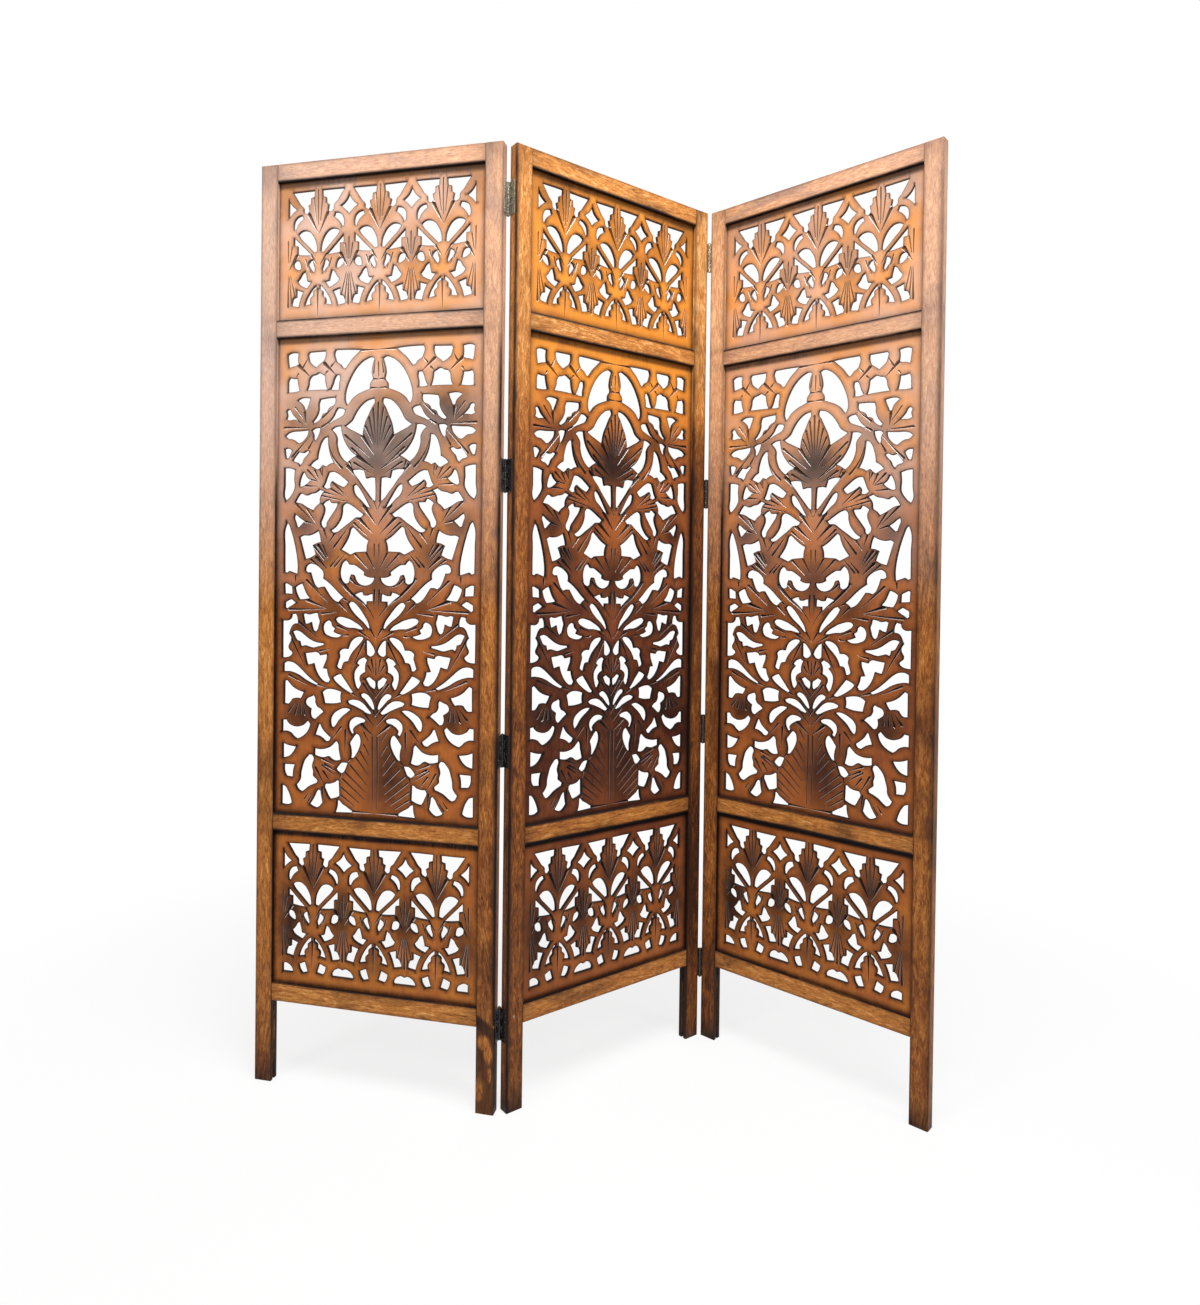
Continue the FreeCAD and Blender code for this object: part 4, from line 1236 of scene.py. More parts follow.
def make_boards(material):
    """The nine carved boards, from the three forms."""
    for panel_number, panel in enumerate(PANELS):
        for board, form in BOARD_FORMS.items():
            low, high = own_box(panel, panel + "_" + board)
            points = wandered(form["points"], low, high, panel_number)
            carried = {
                "place": form["points"] + (NOISE_STEP * panel_number, 0.0, 0.0),
                "burn": burn_and_shadow_on(board, form),
                "shade": smoke_and_shade_on(panel, board, form),
                "cut": form["carved"] * 1000,
                "rubbed": form["rubbed"] * GLINT_SHARES[panel],
                "stain_and_light": stain_and_light_depth(panel, points[:, 2]),
                "sheen": sheen_on(panel, points),
            }
            bent = (points, form["faces"])
            node = panel + "_" + board
            add_piece(panel + "_carved_" + board, panel, bent, carried, material, "carved_board", node)


make_boards(make_board_finish())

# %% [markdown]
# The frame is solid mango wood, square in section with its edges just taken off, and a groove runs down
# each inner side. So every stile and rail is one profile carried along a straight line. The flats of the
# profile get points of their own, because the scorching and the painted shade are stored in the points.

# %% A profile with softened corners
ARRIS_RADIUS = 0.0014
ARRIS_STEPS = 4
FLAT_STEP = 0.005
GROOVE_DEPTH = 0.008
END_CHAMFER = 0.0008
STATION_STEP = 0.0075
# The hair's breadth that a rail's end stands back from the stile
JOINT_LINE = 0.00015


def softened(corners, radius, steps):
    """A closed path whose corners are quarter circles. Each starts and ends one radius from its
    corner, and its centre lies one radius along both sides."""
    to_last = unit(np.roll(corners, 1, axis=0) - corners)[:, None]
    to_next = unit(np.roll(corners, -1, axis=0) - corners)[:, None]
    angle = np.linspace(0, math.pi / 2, steps + 1)[:, None]
    arcs = to_last * (1 - np.sin(angle)) + to_next * (1 - np.cos(angle))
    return (corners[:, None] + radius * arcs).reshape(-1, 2)


def groove(side, inward):
    """The four corners of a groove for the boards, in a side, from the front to the back."""
    bottom = side + inward * GROOVE_DEPTH
    return [(side, BOARD_FRONT), (bottom, BOARD_FRONT), (bottom, BOARD_BACK), (side, BOARD_BACK)]


def grooved_section(width, grooves, step):
    """A bar's section, anticlockwise from its back left corner. grooves says on which of its
    two long sides, low or high, there is a groove."""
    low = groove(0.0, 1)[::-1] if "low" in grooves else []
    high = groove(width, -1) if "high" in grooves else []
    corners = [(0.0, FRAME_DEPTH), *low, (0.0, 0.0), (width, 0.0), *high, (width, FRAME_DEPTH)]
    return straight_steps(softened(np.array(corners), ARRIS_RADIUS, ARRIS_STEPS), step)


def drawn_in(section, inset):
    """A section made smaller about its middle, by an inset on every side."""
    middle = (section.min(axis=0) + section.max(axis=0)) / 2
    half = (section.max(axis=0) - section.min(axis=0)) / 2
    return middle + (section - middle) * (1 - inset / half)


def ring_walls(levels, count):
    """The four-sided faces between rings of points, numbered ring by ring: each point, its
    neighbour, and the same two of the next ring."""
    level, index = np.meshgrid(np.arange(levels - 1), np.arange(count), indexing="ij")
    near, far = level * count, (level + 1) * count
    after = (index + 1) % count
    return np.stack((near + index, near + after, far + after, far + index), axis=-1).reshape(-1, 4)


def ringed(rings, heights):
    """Walls between flat rings at their heights, and a face over each end ring."""
    levels, count = rings.shape[:2]
    points = np.concatenate((rings, np.broadcast_to(heights[:, None, None], (levels, count, 1))), axis=2)
    ends = [list(range(count))[::-1], list(range((levels - 1) * count, levels * count))]
    return points.reshape(-1, 3), ring_walls(levels, count).tolist() + ends


def carried_bar(section, length, fine_to=0.0):
    """A section carried along a length: rings at even stations, the end ones drawn in for a
    chamfer. The stations are close together up to fine_to. Gives the points as (across, through,
    along)."""
    inner = np.linspace(END_CHAMFER, length - END_CHAMFER, max(2, round(length / STATION_STEP)))
    between = (inner[:-1] * 2 + inner[1:]) / 3, (inner[:-1] + inner[1:] * 2) / 3
    close = np.concatenate(between)
    stations = np.sort(np.concatenate(((0.0,), inner, close[close < fine_to], (length,))))
    rings = np.repeat(section[None], len(stations), axis=0)
    rings[[0, -1]] = drawn_in(section, END_CHAMFER)
    return ringed(rings, stations)


# %% [markdown]
# Mango wood is streaky: gold, tan and dark brown run along the grain, with short dark pores. The maker
# scorched the frame before oiling it, most at the feet, the joints and the edges. Painted shade darkens
# the rails' faces beside the boards and the stiles' inner sides low down. A painted pale sheen lies on the
# upper parts of two panels, and the stain's depth carries painted light as on the boards. The mesh carries
# where the flame went and where shade is painted, and noise breaks it up.

# %% The finish of the frame
STRAW = (0.76, 0.43, 0.17)
GOLD = (0.52, 0.205, 0.046)
TAN = (0.235, 0.073, 0.017)
UMBER = (0.050, 0.017, 0.008)
# Soot of the scorching, which also serves as the painted shade beside the boards
SOOT_AND_SHADE = (0.011, 0.006, 0.005)
WOOD_STOPS = ((0.0, UMBER), (0.34, TAN), (0.70, GOLD), (1.0, STRAW))
FIGURE_SCALES = (75, 75, 15)
STREAK_SCALES = (420, 420, 85)
FLECK_SCALES = (800, 800, 170)
PATCH_SCALES = (16, 16, 6)
# The wood's tone is a share of the figure and of the streaks, and of how far the stain and painted light
# are from an even one. Flecks and patches then darken it by a share of their own.
GRAIN_RISE = (0.30, 0.72)
FIGURE_SHARE = 0.45
STREAK_SHARE = 0.4
TONE_SHARE = 0.6
EVEN_TONE = 0.55
PALEST_TONE = 1.1
FLECK_RISE = (0.54, 0.70)
FLECK_SHARE = 0.6
PATCH_RISE = (0.50, 0.70)
PATCH_SHARE = 0.7
# How the painted pale sheen on the frame follows the streaks
SHEEN_BY_STREAK = (0.3, 0.7, 0.6, 1.2)
# How strongly the scorching and painted shade show, and how far patches and streaks swing them
FLAME_AND_SHADE_GAIN = 1.15
FLAME_AND_SHADE_PATCH_SWING = 1.1
FLAME_AND_SHADE_STREAK_SWING = 0.7
ROUGHNESS_BY_STREAK = (0.3, 0.7, 0.38, 0.54)
PORE_SHARE = 0.3
FRAME_GLOSS = 0.12


def make_frame_finish():
    """Streaky oiled wood, scorched and painted with shade where the mesh says, with a painted pale sheen
    and the painted light in the stain's depth. The grain runs along the third number of the grain
    attribute, so the noise is stretched that way."""
    material, shader, start = start_material("frame_wood_finish")
    grain = attribute(start, "grain", "Vector")
    scorch_and_shade, depth, sheen = (attribute(start, name) for name in ("scorch_and_shade", "stain_and_light", "sheen"))
    figure = noise(grain, FIGURE_SCALES, detail=4.0, distortion=2.6)
    streak = noise(grain, STREAK_SCALES, distortion=0.8)
    fleck = noise(grain, FLECK_SCALES, detail=2.0)
    patch = noise(grain, PATCH_SCALES, distortion=0.8)
    figured = figure.stretch(*GRAIN_RISE) * FIGURE_SHARE + streak.stretch(*GRAIN_RISE) * STREAK_SHARE
    tone = figured + (EVEN_TONE - depth) * TONE_SHARE
    wood = tone.stretch(0.0, PALEST_TONE).ramp(WOOD_STOPS)
    flecked = (fleck.stretch(*FLECK_RISE) * FLECK_SHARE).mix(wood, UMBER)
    darkened = (patch.stretch(*PATCH_RISE) * PATCH_SHARE).mix(flecked, UMBER)
    sheened = (sheen * streak.stretch(*SHEEN_BY_STREAK)).mix(darkened, PAINTED_SHEEN)
    flame_and_shade = scorch_and_shade * FLAME_AND_SHADE_GAIN + patch.swing(FLAME_AND_SHADE_PATCH_SWING) * scorch_and_shade
    flame_and_shade = (flame_and_shade + streak.swing(FLAME_AND_SHADE_STREAK_SWING) * scorch_and_shade).stretch(0.0, 1.0)
    feed(shader, "Base Color", flame_and_shade.mix(sheened, SOOT_AND_SHADE))
    feed(shader, "Roughness", streak.stretch(*ROUGHNESS_BY_STREAK))
    feed(shader, "Specular IOR Level", FRAME_GLOSS)
    height = streak * (1 - PORE_SHARE) + fleck * PORE_SHARE
    roughen(shader, height, strength=0.35, distance=0.0006)
    return material


# %% Where the flame went, and where shade is painted
ARRIS_SCORCH = 0.75
ARRIS_FADE = 0.0022
JOINT_SCORCH = 0.22
JOINT_FADE = 0.012
FOOT_SCORCH = 0.75
FOOT_FADE = 0.05
TOP_SCORCH = 0.35
RAIL_END_SCORCH = 0.3
RAIL_END_FADE = 0.022
# Painted shade on the rails' faces beside the boards
RAIL_INNER_PAINTED_SHADE = 0.95
FRAME_BELL_SHARE = 0.2
RAIL_TONE_SHARE = 0.4
# Painted shade on the stiles' inner sides, low down
STILE_INNER_PAINTED_SHADE = 1.0
# Stiles with a scorched band along an edge: where across the stile the edge is, how wide the
# band is, how strong, and the height at which it ends
EDGE_BANDS = {
    ("middle_panel", "left"): (0.0, 0.0060, 0.95, 1.95),
    ("middle_panel", "right"): (0.0, 0.0060, 0.75, 1.60),
    ("right_panel", "right"): (STILE_WIDTH, 0.0070, 0.60, 1.90),
    ("right_panel", "left"): (STILE_WIDTH, 0.0050, 0.50, 1.30),
    ("left_panel", "right"): (STILE_WIDTH, 0.0065, 0.95, 1.55),
}
EDGE_BAND_END = 0.15
# Stiles that are stained deeper or paler round a height: the height, how far it reaches, how much
STILE_DEPTHS = {
    ("left_panel", "left"): ((0.85, 0.35, -0.25), (0.0, 0.10, 0.50)),
    ("left_panel", "right"): ((0.35, 0.30, 0.30),),
    ("middle_panel", "left"): ((0.20, 0.35, 0.20),),
    ("middle_panel", "right"): ((0.38, 0.20, 0.85), (1.15, 0.20, 0.35), (1.65, 0.25, -0.25)),
    ("right_panel", "left"): ((0.10, 0.20, 0.50), (0.55, 0.40, 0.20), (1.60, 0.25, -0.20)),
    ("right_panel", "right"): ((0.15, 0.25, 0.20),),
}
# The height up to which the stiles' inner sides get their painted shade
INNER_SHADE_TOP = 1.30
RAIL_HEIGHT = RAILS["top_rail"][1] - RAILS["top_rail"][0]

# The scorched leg beside the left joint: how scorched its front is, the scorching's upper edge at
# the stile's left and right, its fade, up to where nothing else counts, and how close the points
# lie there
SPOILT_SCORCH = 0.72
SPOILT_TOP = (0.192, 0.170)
SPOILT_FADE = 0.006
SPOILT_FOOT = 0.17
SPOILT_STEP = 0.0025
# Pale spots that the flame missed: the middle across and up, the reach each way, and how much was
# missed. A spot ends where the square of the distance, counted in its reach, is PALE_SPOT_END
PALE_SPOTS = (
    (0.015, 0.136, 0.012, 0.013, 1.0), (0.024, 0.116, 0.008, 0.018, 1.0),
    (0.028, 0.075, 0.0035, 0.013, 0.9), (0.006, 0.045, 0.008, 0.020, 0.6),
)
PALE_SPOT_END = 1.6


def arris_scorch(points, width):
    """Dark along the long edges: strong only where both the side and the face are near."""
    side = np.minimum(points[:, 0], width - points[:, 0])
    face = np.minimum(points[:, 1], FRAME_DEPTH - points[:, 1])
    return ARRIS_SCORCH * np.exp(-(np.abs(side) + np.abs(face)) / ARRIS_FADE)


def stile_scorch_and_shade(points, panel, side):
    """An upright's scorching and painted shade: scorching at its foot, its top, beside each rail, at its
    arrises and in the band along an edge that some have, and painted shade on its inner side low down."""
    x, y, z = points.T
    inner = STILE_WIDTH if side == "left" else 0.0
    low_down = np.clip((INNER_SHADE_TOP - z) / EDGE_BAND_END, 0, 1)
    inside_shade = STILE_INNER_PAINTED_SHADE * low_down * (np.abs(x - inner) < ARRIS_RADIUS / 2)
    middle, wide, strength, end = EDGE_BANDS.get((panel, side), (0.0, 1.0, 0.0, 0.0))
    band = strength * np.clip((end - z) / EDGE_BAND_END, 0, 1) * bell(np.abs(x - middle) + y, 0.0, wide)
    foot = FOOT_SCORCH * np.exp(-z / FOOT_FADE)
    scorch_and_shade = np.maximum(foot, TOP_SCORCH * np.exp(-(PANEL_HEIGHT - z) / FOOT_FADE))
    for low, high in RAILS.values():
        beside = np.minimum(np.abs(z - low), np.abs(z - high))
        scorch_and_shade = np.maximum(scorch_and_shade, JOINT_SCORCH * np.exp(-beside / JOINT_FADE))
    scorch_and_shade = np.maximum.reduce((scorch_and_shade, arris_scorch(points, STILE_WIDTH), inside_shade, band))
    if (panel, side) == ("left_panel", "right"):
        below = SPOILT_TOP[0] + (SPOILT_TOP[1] - SPOILT_TOP[0]) * x / STILE_WIDTH - z
        front = np.where(y < ARRIS_RADIUS / 2, SPOILT_SCORCH, 1.0)
        spoilt = front * np.clip(below / SPOILT_FADE, 0, 1)
        for across, up, wide, high, share in PALE_SPOTS:
            away = ((x - across) / wide) ** 2 + ((z - up) / high) ** 2
            spoilt = spoilt * (1 - share * np.clip(PALE_SPOT_END - away, 0, 1))
        scorch_and_shade = np.maximum(scorch_and_shade * (z > SPOILT_FOOT), spoilt)
    return np.clip(scorch_and_shade, 0, 1)


def stile_stain_and_light(panel, side, heights):
    """How deep an upright's stain and painted light are: the panel's, and a bell for each height of its
    own.
    """
    depth = stain_and_light_depth(panel, heights, FRAME_BELL_SHARE)
    for height, reach, more in STILE_DEPTHS.get((panel, side), ()):
        depth = depth + more * bell(heights, height, reach)
    return depth


def rail_scorch_and_shade(points, length, grooves):
    """A cross bar's scorching and painted shade: scorching at its ends, where it meets the stiles, and at
    its arrises, and painted shade on the sides with a groove, where the board is."""
    along = points[:, 2]
    end = np.minimum(along, length - along)
    sides = {"low": points[:, 0], "high": RAIL_HEIGHT - points[:, 0]}
    inner = np.max([sides[side] < ARRIS_RADIUS for side in grooves], axis=0) * RAIL_INNER_PAINTED_SHADE
    ends = RAIL_END_SCORCH * np.exp(-end / RAIL_END_FADE)
    return np.maximum.reduce((ends, arris_scorch(points, RAIL_HEIGHT), inner))


# %% The stiles and rails
GRAIN_STEPS = np.array((1.7, 0.9, 5.3))


def grain_of(points, number):
    """A place of its own in the grain for each piece, so that no two look alike."""
    return points + number * GRAIN_STEPS


def make_stiles(panel, panel_number, material):
    """The two uprights of a panel, whose section lies as the panel does."""
    for side, grooved, left in (("left", "high", 0.0), ("right", "low", PANEL_WIDTH - STILE_WIDTH)):
        spoilt = (panel, side) == ("left_panel", "right")
        section = grooved_section(STILE_WIDTH, (grooved,), SPOILT_STEP if spoilt else FLAT_STEP)
        points, faces = carried_bar(section, PANEL_HEIGHT, SPOILT_TOP[0] * spoilt)
        own = points + (left, 0, 0)
        carried = {
            "grain": grain_of(points, panel_number * 6 + (side == "right")),
            "scorch_and_shade": stile_scorch_and_shade(points, panel, side),
            "stain_and_light": stile_stain_and_light(panel, side, points[:, 2]),
            "sheen": sheen_on(panel, own),
        }
        node = panel + "_" + side + "_stile"
        add_piece(node + "_wood", panel, (own, faces), carried, material, "frame_wood", node)


def make_rails(panel, panel_number, material):
    """The four cross bars of a panel. A section's across is up the panel, and its way along is
    the panel's across, so the numbers change places."""
    length = FIELD_WIDTH - 2 * JOINT_LINE
    for rail_number, (rail, (foot, top)) in enumerate(RAILS.items()):
        grooves = {"bottom_rail": ("high",), "top_rail": ("low",)}.get(rail, ("low", "high"))
        section = grooved_section(top - foot, grooves, FLAT_STEP)
        points, faces = carried_bar(section, length)
        own = points[:, ::-1] + (STILE_WIDTH + JOINT_LINE, 0, foot)
        carried = {
            "grain": grain_of(points, panel_number * 6 + 2 + rail_number),
            "scorch_and_shade": rail_scorch_and_shade(points, length, grooves),
            "stain_and_light": RAIL_TONE_SHARE * stain_and_light_depth(panel, own[:, 2], FRAME_BELL_SHARE),
            "sheen": sheen_on(panel, own),
        }
        node = panel + "_" + rail
        flipped = [face[::-1] for face in faces]
        add_piece(node + "_wood", panel, (own, flipped), carried, material, "frame_wood", node)


frame_finish = make_frame_finish()
for panel_number, panel in enumerate(PANELS):
    make_stiles(panel, panel_number, frame_finish)
    make_rails(panel, panel_number, frame_finish)
print("Made the frames of", len(PANELS), "panels")

# %% [markdown]
# The hinges are pressed steel, painted black. Each leaf is a plate with softened edges, let onto
# the stile's side, and its end is rolled into knuckles round the pin. Knuckles are short tubes
# with rounded rims, and the countersunk screws have a cross cut into their heads.

# %% Sizes of the hinges
LEAF_WIDTH = 0.017
LEAF_THICKNESS = 0.0016
LEAF_ROUND = 0.0005
PLATE_ARC_STEPS = 3
HINGE_BREAK = 0.1
PIN_END_STAND = 0.001
PIN_RADIUS = 0.0015
KNUCKLES = 5
KNUCKLE_RADIUS = 0.0031
KNUCKLE_GAP = 0.0004
RIM_ROUND = 0.0004
SCREWS_PER_LEAF = 3
SCREW_PITCH = 0.0195
SCREW_RADIUS = 0.0036
SCREW_RISE = 0.0002
SCREW_INSET = 0.0090
HEAD_SUNK = 0.0006
CROSS_HALF_WIDTH = 0.0005
CROSS_REACH = 0.0021
CROSS_DEPTH = 0.0006
# A fastener's head as rings, by their share of its radius, the last one sunk, and how many points
# a ring has. A turned rod's rim is broken at a share of its width.
HEAD_RING_SHARES = (0.14, 0.3, 0.45, 0.58, 0.7, 0.85, 1.0, 1.0)
HEAD_POINTS = 32
ROD_POINTS = 28
RIM_SHARE = 0.3


def hinge_spans(joint):
    """The lowest and highest point of each of a joint's hinges, read from its pins."""
    heights = np.unique(np.round(node_points(joint + "_pins")[:, 2], 5))
    breaks = np.nonzero(np.diff(heights) > HINGE_BREAK)[0]
    lows = heights[np.concatenate(((0,), breaks + 1))]
    highs = heights[np.concatenate((breaks, (len(heights) - 1,)))]
    return list(zip(lows + PIN_END_STAND, highs - PIN_END_STAND))


JOINT_PLACES = {joint["name"].replace("_fold", "_joint"): joint["pos_m"] for joint in frame["joints"]}
print("Hinges at", [round(float(low), 4) for low, high in hinge_spans("left_joint")])


# %% Plates, turned rods and screw heads
def plate(low, high, radius):
    """A slab from its lowest to its highest corner, its four upright edges softened and both
    ends drawn in."""
    section = softened(box_corners(low, high), radius, PLATE_ARC_STEPS)
    shrunk = drawn_in(section, radius)
    rings = np.stack((shrunk, section, section, shrunk))
    heights = np.array((low[2], low[2] + radius, high[2] - radius, high[2]))
    return ringed(rings, heights)


def circle_points(count):
    """Points round a circle of radius one."""
    angle = np.linspace(0, 2 * math.pi, count, endpoint=False)
    return np.column_stack((np.cos(angle), np.sin(angle)))


def turned_rod(middle, radius, low, high):
    """An upright rod turned on a lathe: rings of a circle, drawn in over the rim at each end."""
    inset = RIM_ROUND * np.array((1.0, RIM_SHARE, 0.0, 0.0, RIM_SHARE, 1.0))
    rise = RIM_ROUND * np.array((0.0, RIM_SHARE, 1.0))
    heights = np.concatenate((low + rise, high - rise[::-1]))
    return ringed(middle + (radius - inset)[:, None, None] * circle_points(ROD_POINTS), heights)


def fastener_head(radius, rise, cross_depth):
    """A low dome whose height falls with the square of the radius, less a cross, where a point
    lies close to either of two crossed lines. Gives the points as (out, along, up)."""
    share = np.array(HEAD_RING_SHARES)[:, None]
    along, up = (share * radius * line for line in circle_points(HEAD_POINTS).T)
    out = rise * (1 - share**2) * np.ones_like(along)
    crossed = np.minimum(np.abs(along), np.abs(up)) < CROSS_HALF_WIDTH
    crossed &= np.hypot(along, up) < CROSS_REACH
    out = out - cross_depth * crossed
    out[-1] = -HEAD_SUNK
    levels, count = out.shape
    points = np.column_stack((out.ravel(), along.ravel(), up.ravel()))
    points = np.vstack((points, (rise - cross_depth, 0, 0)))
    walls = ring_walls(levels, count)[:, (0, 3, 2, 1)]
    middle = np.full(count, levels * count)
    fan = np.column_stack((middle, ring_edges(0, count)))
    back = list(range((levels - 1) * count, levels * count))[::-1]
    return points, walls.tolist() + fan.tolist() + [back]


def together(forms):
    """Several lists of points and faces as one."""
    points, faces, count = [], [], 0
    for form_points, form_faces in forms:
        points.append(form_points)
        faces += [[count + index for index in face] for face in form_faces]
        count += len(form_points)
    return np.vstack(points), faces


# %% Black paint on pressed steel
PAINT_SCALE = 340.0
# Where the paint is worn: in spots at any height, and in wider ones above these heights
SPOT_RISE = (0.62, 0.74)
WIDER_RISE = (0.34, 0.60)
WORN_HEIGHTS = (1.5, 1.6)
SPOT_SHARE = 0.5
WIDER_SHARE = 0.9
BRASS_METALLIC = 0.7
PAINT_ROUGHNESS = (0.3, 0.7, 0.16, 0.30)
BLACK_PAINT = (0.012, 0.012, 0.013)
BARE_BRASS = (0.42, 0.37, 0.27)


def make_hinge_finish():
    """Satin black paint, worn here and there, and worn through to the brass on the top hinges."""
    material, shader, start = start_material("hinge_black_finish")
    place = object_place(start)
    wear = noise(place, PAINT_SCALE)
    height = start.node("ShaderNodeSeparateXYZ", {}, {"Vector": place}, output="Z")
    wider = wear.stretch(*WIDER_RISE) * height.stretch(*WORN_HEIGHTS) * WIDER_SHARE
    marked_share = wear.stretch(*SPOT_RISE) * SPOT_SHARE + wider
    feed(shader, "Base Color", marked_share.mix(BLACK_PAINT, BARE_BRASS))
    feed(shader, "Metallic", marked_share.stretch(0.0, 1.0) * BRASS_METALLIC)
    feed(shader, "Roughness", wear.stretch(*PAINT_ROUGHNESS))
    roughen(shader, wear, strength=0.2, distance=0.0002)
    return material


# %% [markdown]
# At each joint the outer panel's leaves have the end knuckles and hold the pins, and the middle
# panel's leaves have the two between. All four hinges of a joint on one panel are one piece.

# %% The leaves, knuckles, pins and screws of both joints
# Each side of a joint: its panel, the side of that panel, the way out of it, the face that the
# pin stands at and the way out of that, and the first of its knuckles
JOINT_SIDES = {
    "left_joint": (
        ("left_panel", PANEL_WIDTH, 1, FRAME_DEPTH, 1, 0),
        ("middle_panel", 0.0, -1, FRAME_DEPTH, 1, 1),
    ),
    "right_joint": (
        ("right_panel", 0.0, -1, 0.0, -1, 0),
        ("middle_panel", PANEL_WIDTH, 1, 0.0, -1, 1),
    ),
}


def leaf_form(side, pin, low, high):
    """One leaf: its plate on the stile's side, and a strap and a knuckle at every second pitch."""
    panel, edge, out, face, face_out, first = side
    plate_x = sorted((edge, edge + out * LEAF_THICKNESS))
    plate_y = sorted((face - face_out * LEAF_WIDTH, face))
    forms = [plate((plate_x[0], plate_y[0], low), (plate_x[1], plate_y[1], high), LEAF_ROUND)]
    pitch = (high - low) / KNUCKLES
    strap_y = sorted((face - face_out * LEAF_ROUND * 2, pin[1]))
    for index in range(first, KNUCKLES, 2):
        foot = low + index * pitch + KNUCKLE_GAP / 2
        top = foot + pitch - KNUCKLE_GAP
        forms.append(plate((plate_x[0], strap_y[0], foot), (plate_x[1], strap_y[1], top), RIM_ROUND))
        forms.append(turned_rod(pin[:2], KNUCKLE_RADIUS, foot, top))
    return together(forms)


def screws_form(side, low, high):
    """The three screws of one leaf, with their heads turned out from the stile."""
    panel, edge, out, face, face_out, first = side
    points, faces = fastener_head(SCREW_RADIUS, SCREW_RISE, CROSS_DEPTH)
    forms = []
    for index in range(SCREWS_PER_LEAF):
        up = (low + high) / 2 + (index - (SCREWS_PER_LEAF - 1) / 2) * SCREW_PITCH
        middle = (edge + out * LEAF_THICKNESS, face - face_out * SCREW_INSET, up)
        forms.append((points * (out, out, 1) + middle, faces))
    return together(forms)


def make_hinges(material):
    """The leaves and screws on each side of both joints, and the pins on the outer side."""
    for joint, sides in JOINT_SIDES.items():
        spans = hinge_spans(joint)
        for side in sides:
            panel = side[0]
            pin = to_panel(panel, np.array(JOINT_PLACES[joint]))
            node = joint + "_leaves_on_" + panel
            leaves = together([leaf_form(side, pin, low, high) for low, high in spans])
            add_piece(node + "_pressed", panel, leaves, {}, material, "hinge_metal", node)
            screws = together([screws_form(side, low, high) for low, high in spans])
            add_piece(joint + "_screws_on_" + panel, panel, screws, {}, material, "hinge_metal")
            if panel != "middle_panel":
                node = joint + "_pins"
                ends = [(low - PIN_END_STAND, high + PIN_END_STAND) for low, high in spans]
                rods = together([turned_rod(pin[:2], PIN_RADIUS, *span) for span in ends])
                add_piece(joint + "_turned_pins", panel, rods, {}, material, "hinge_metal", node)


make_hinges(make_hinge_finish())
print("Made", len(JOINT_SIDES), "joints of", len(hinge_spans("left_joint")), "hinges")

# %% [markdown]
# A nail through each joint holds the tenon. One of them shows as a small worn head, on the
# middle panel's left stile, level with the bottom rail.

# %% The nail head
NAIL_RADIUS = 0.0024
NAIL_RISE = 0.0005
NAIL_ACROSS_SHARE = 0.42
NAIL_PLACE = (STILE_WIDTH * NAIL_ACROSS_SHARE, 0.0, sum(RAILS["bottom_rail"]) / 2)
STEEL_SCALE = 900.0
BRIGHT_RISE = (0.35, 0.65)
STEEL_METALLIC = (0.3, 0.7, 0.5, 0.9)
STEEL_ROUGHNESS = 0.45
DULL_STEEL = (0.16, 0.13, 0.10)
BRIGHT_STEEL = (0.42, 0.37, 0.30)


def make_nail():
    """A worn steel head on the stile's front face. The way out of the face is minus through."""
    material, shader, start = start_material("nail_steel_finish")
    wear = noise(object_place(start), STEEL_SCALE)
    feed(shader, "Base Color", wear.stretch(*BRIGHT_RISE).mix(DULL_STEEL, BRIGHT_STEEL))
    feed(shader, "Metallic", wear.stretch(*STEEL_METALLIC))
    feed(shader, "Roughness", STEEL_ROUGHNESS)
    out_along_up, faces = fastener_head(NAIL_RADIUS, NAIL_RISE, 0.0)
    points = np.column_stack((out_along_up[:, 1], -out_along_up[:, 0], out_along_up[:, 2])) + NAIL_PLACE
    add_piece("middle_panel_nail_head", "middle_panel", (points, faces), {}, material, "hinge_metal")


make_nail()

# %% [markdown]
# The screen is seen before white. A pale floor and a pale surround show white to the camera,
# while the lamps light the wood at a plain level.

# %% Floor, surround and lamps
FLOOR_HALF = 6.0
FLOOR_COLOUR = (0.86, 0.86, 0.86)
FLOOR_ROUGHNESS = 0.8
SHADOW_REACH = (0.5, 1.7)
SHADOW_KEPT = 0.8
SURROUND_LIGHT = 0.25
# Each lamp's place, aim, size, power in watts, and spread in degrees
LAMPS = {
    "top_lamp": ((0.35, -1.15, 3.15), (0.1, 0.0, 1.4), 1.1, 58.0, 150),
    "left_lamp": ((-2.0, -2.3, 2.4), (0.0, 0.0, 1.3), 0.6, 24.0, 160),
    "right_lamp": ((2.3, -1.3, 2.5), (0.0, 0.0, 1.3), 0.8, 22.0, 160),
}


def seen_directly(start):
    """One for rays from the camera and for those in gloss or through glass, else nothing."""
    kinds = ("Is Camera Ray", "Is Glossy Ray", "Is Transmission Ray")
    camera, glossy, through = (start.node("ShaderNodeLightPath", output=kind) for kind in kinds)
    return (camera + glossy + through).stretch(0.0, 1.0)


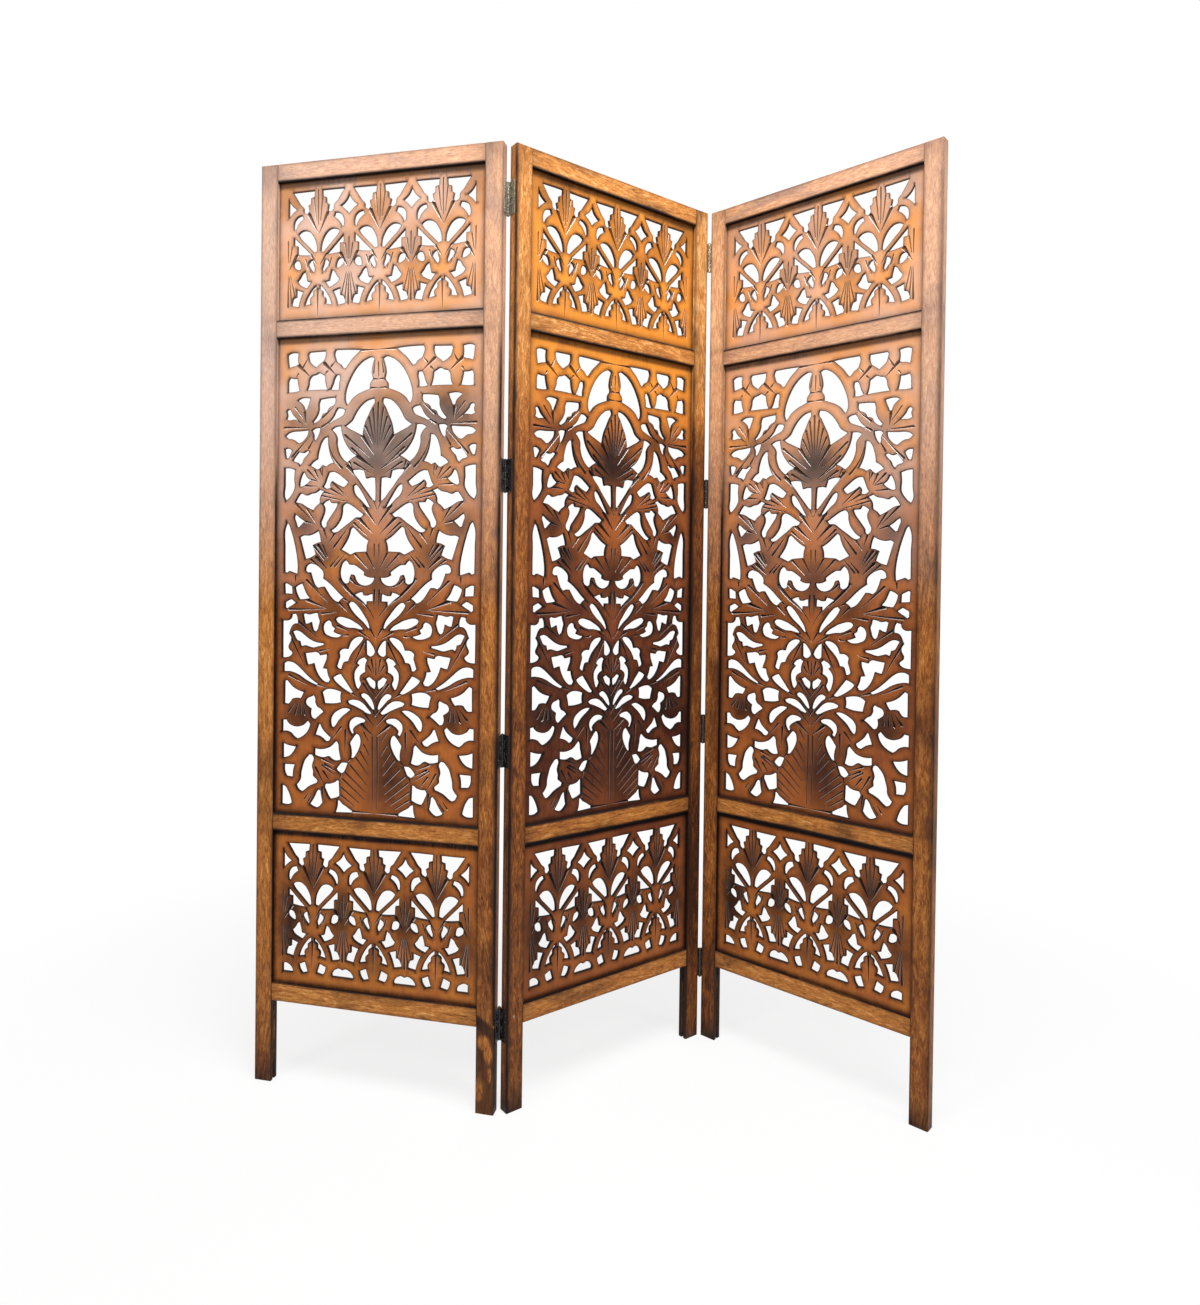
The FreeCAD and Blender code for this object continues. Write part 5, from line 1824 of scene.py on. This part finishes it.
def make_stage():
    """A wide pale floor. Near the screen a share of what is seen is its own shading, so the shadow
    stays. With the distance from the screen that share falls to nothing, and plain white is left."""
    corners = np.column_stack((box_corners((-FLOOR_HALF,) * 2, (FLOOR_HALF,) * 2), np.zeros(4)))
    material, shader, start = start_material("pale_floor")
    feed(shader, "Base Color", (*FLOOR_COLOUR, 1.0))
    feed(shader, "Roughness", FLOOR_ROUGHNESS)
    place = object_place(start)
    away = start.node("ShaderNodeVectorMath", {"operation": "LENGTH"}, {0: place}, output="Value")
    white = start.node("ShaderNodeEmission", {}, {"Color": (1.0, 1.0, 1.0), "Strength": 1.0})
    lit = Value(start.tree, shader.outputs["BSDF"])
    share = seen_directly(start) * away.stretch(*SHADOW_REACH, SHADOW_KEPT, 1.0)
    mixed = start.node("ShaderNodeMixShader", {}, {0: share, 1: lit, 2: white})
    result = next(node for node in start.tree.nodes if node.type == "OUTPUT_MATERIAL")
    start.tree.links.new(mixed.socket, result.inputs["Surface"])
    floor = make_piece("floor", corners, [(0, 1, 2, 3)], {}, material)


def make_surround():
    """A world that is white to the camera and in gloss, and soft grey as a light."""
    world = bpy.data.worlds.new("surround")
    world.use_nodes = True
    bpy.context.scene.world = world
    background = next(node for node in world.node_tree.nodes if node.type == "BACKGROUND")
    feed(background, "Color", (1.0, 1.0, 1.0, 1.0))
    shown = seen_directly(Value(world.node_tree))
    feed(background, "Strength", shown.stretch(0.0, 1.0, SURROUND_LIGHT, 1.0))


def make_lamp(name, place, aim, size, power, spread_deg):
    """A soft square lamp at a place, turned towards its aim, whose light keeps within a spread."""
    lamp_data = bpy.data.lights.new(name, "AREA")
    lamp_data.size = size
    lamp_data.energy = power
    lamp_data.spread = math.radians(spread_deg)
    lamp = bpy.data.objects.new(name, lamp_data)
    lamp.location = place
    lamp.rotation_euler = (Vector(aim) - Vector(place)).to_track_quat("-Z", "Y").to_euler()
    bpy.context.scene.collection.objects.link(lamp)


make_stage()
make_surround()
for name, lamp in LAMPS.items():
    make_lamp(name, *lamp)
bpy.context.scene.view_settings.view_transform = "Standard"
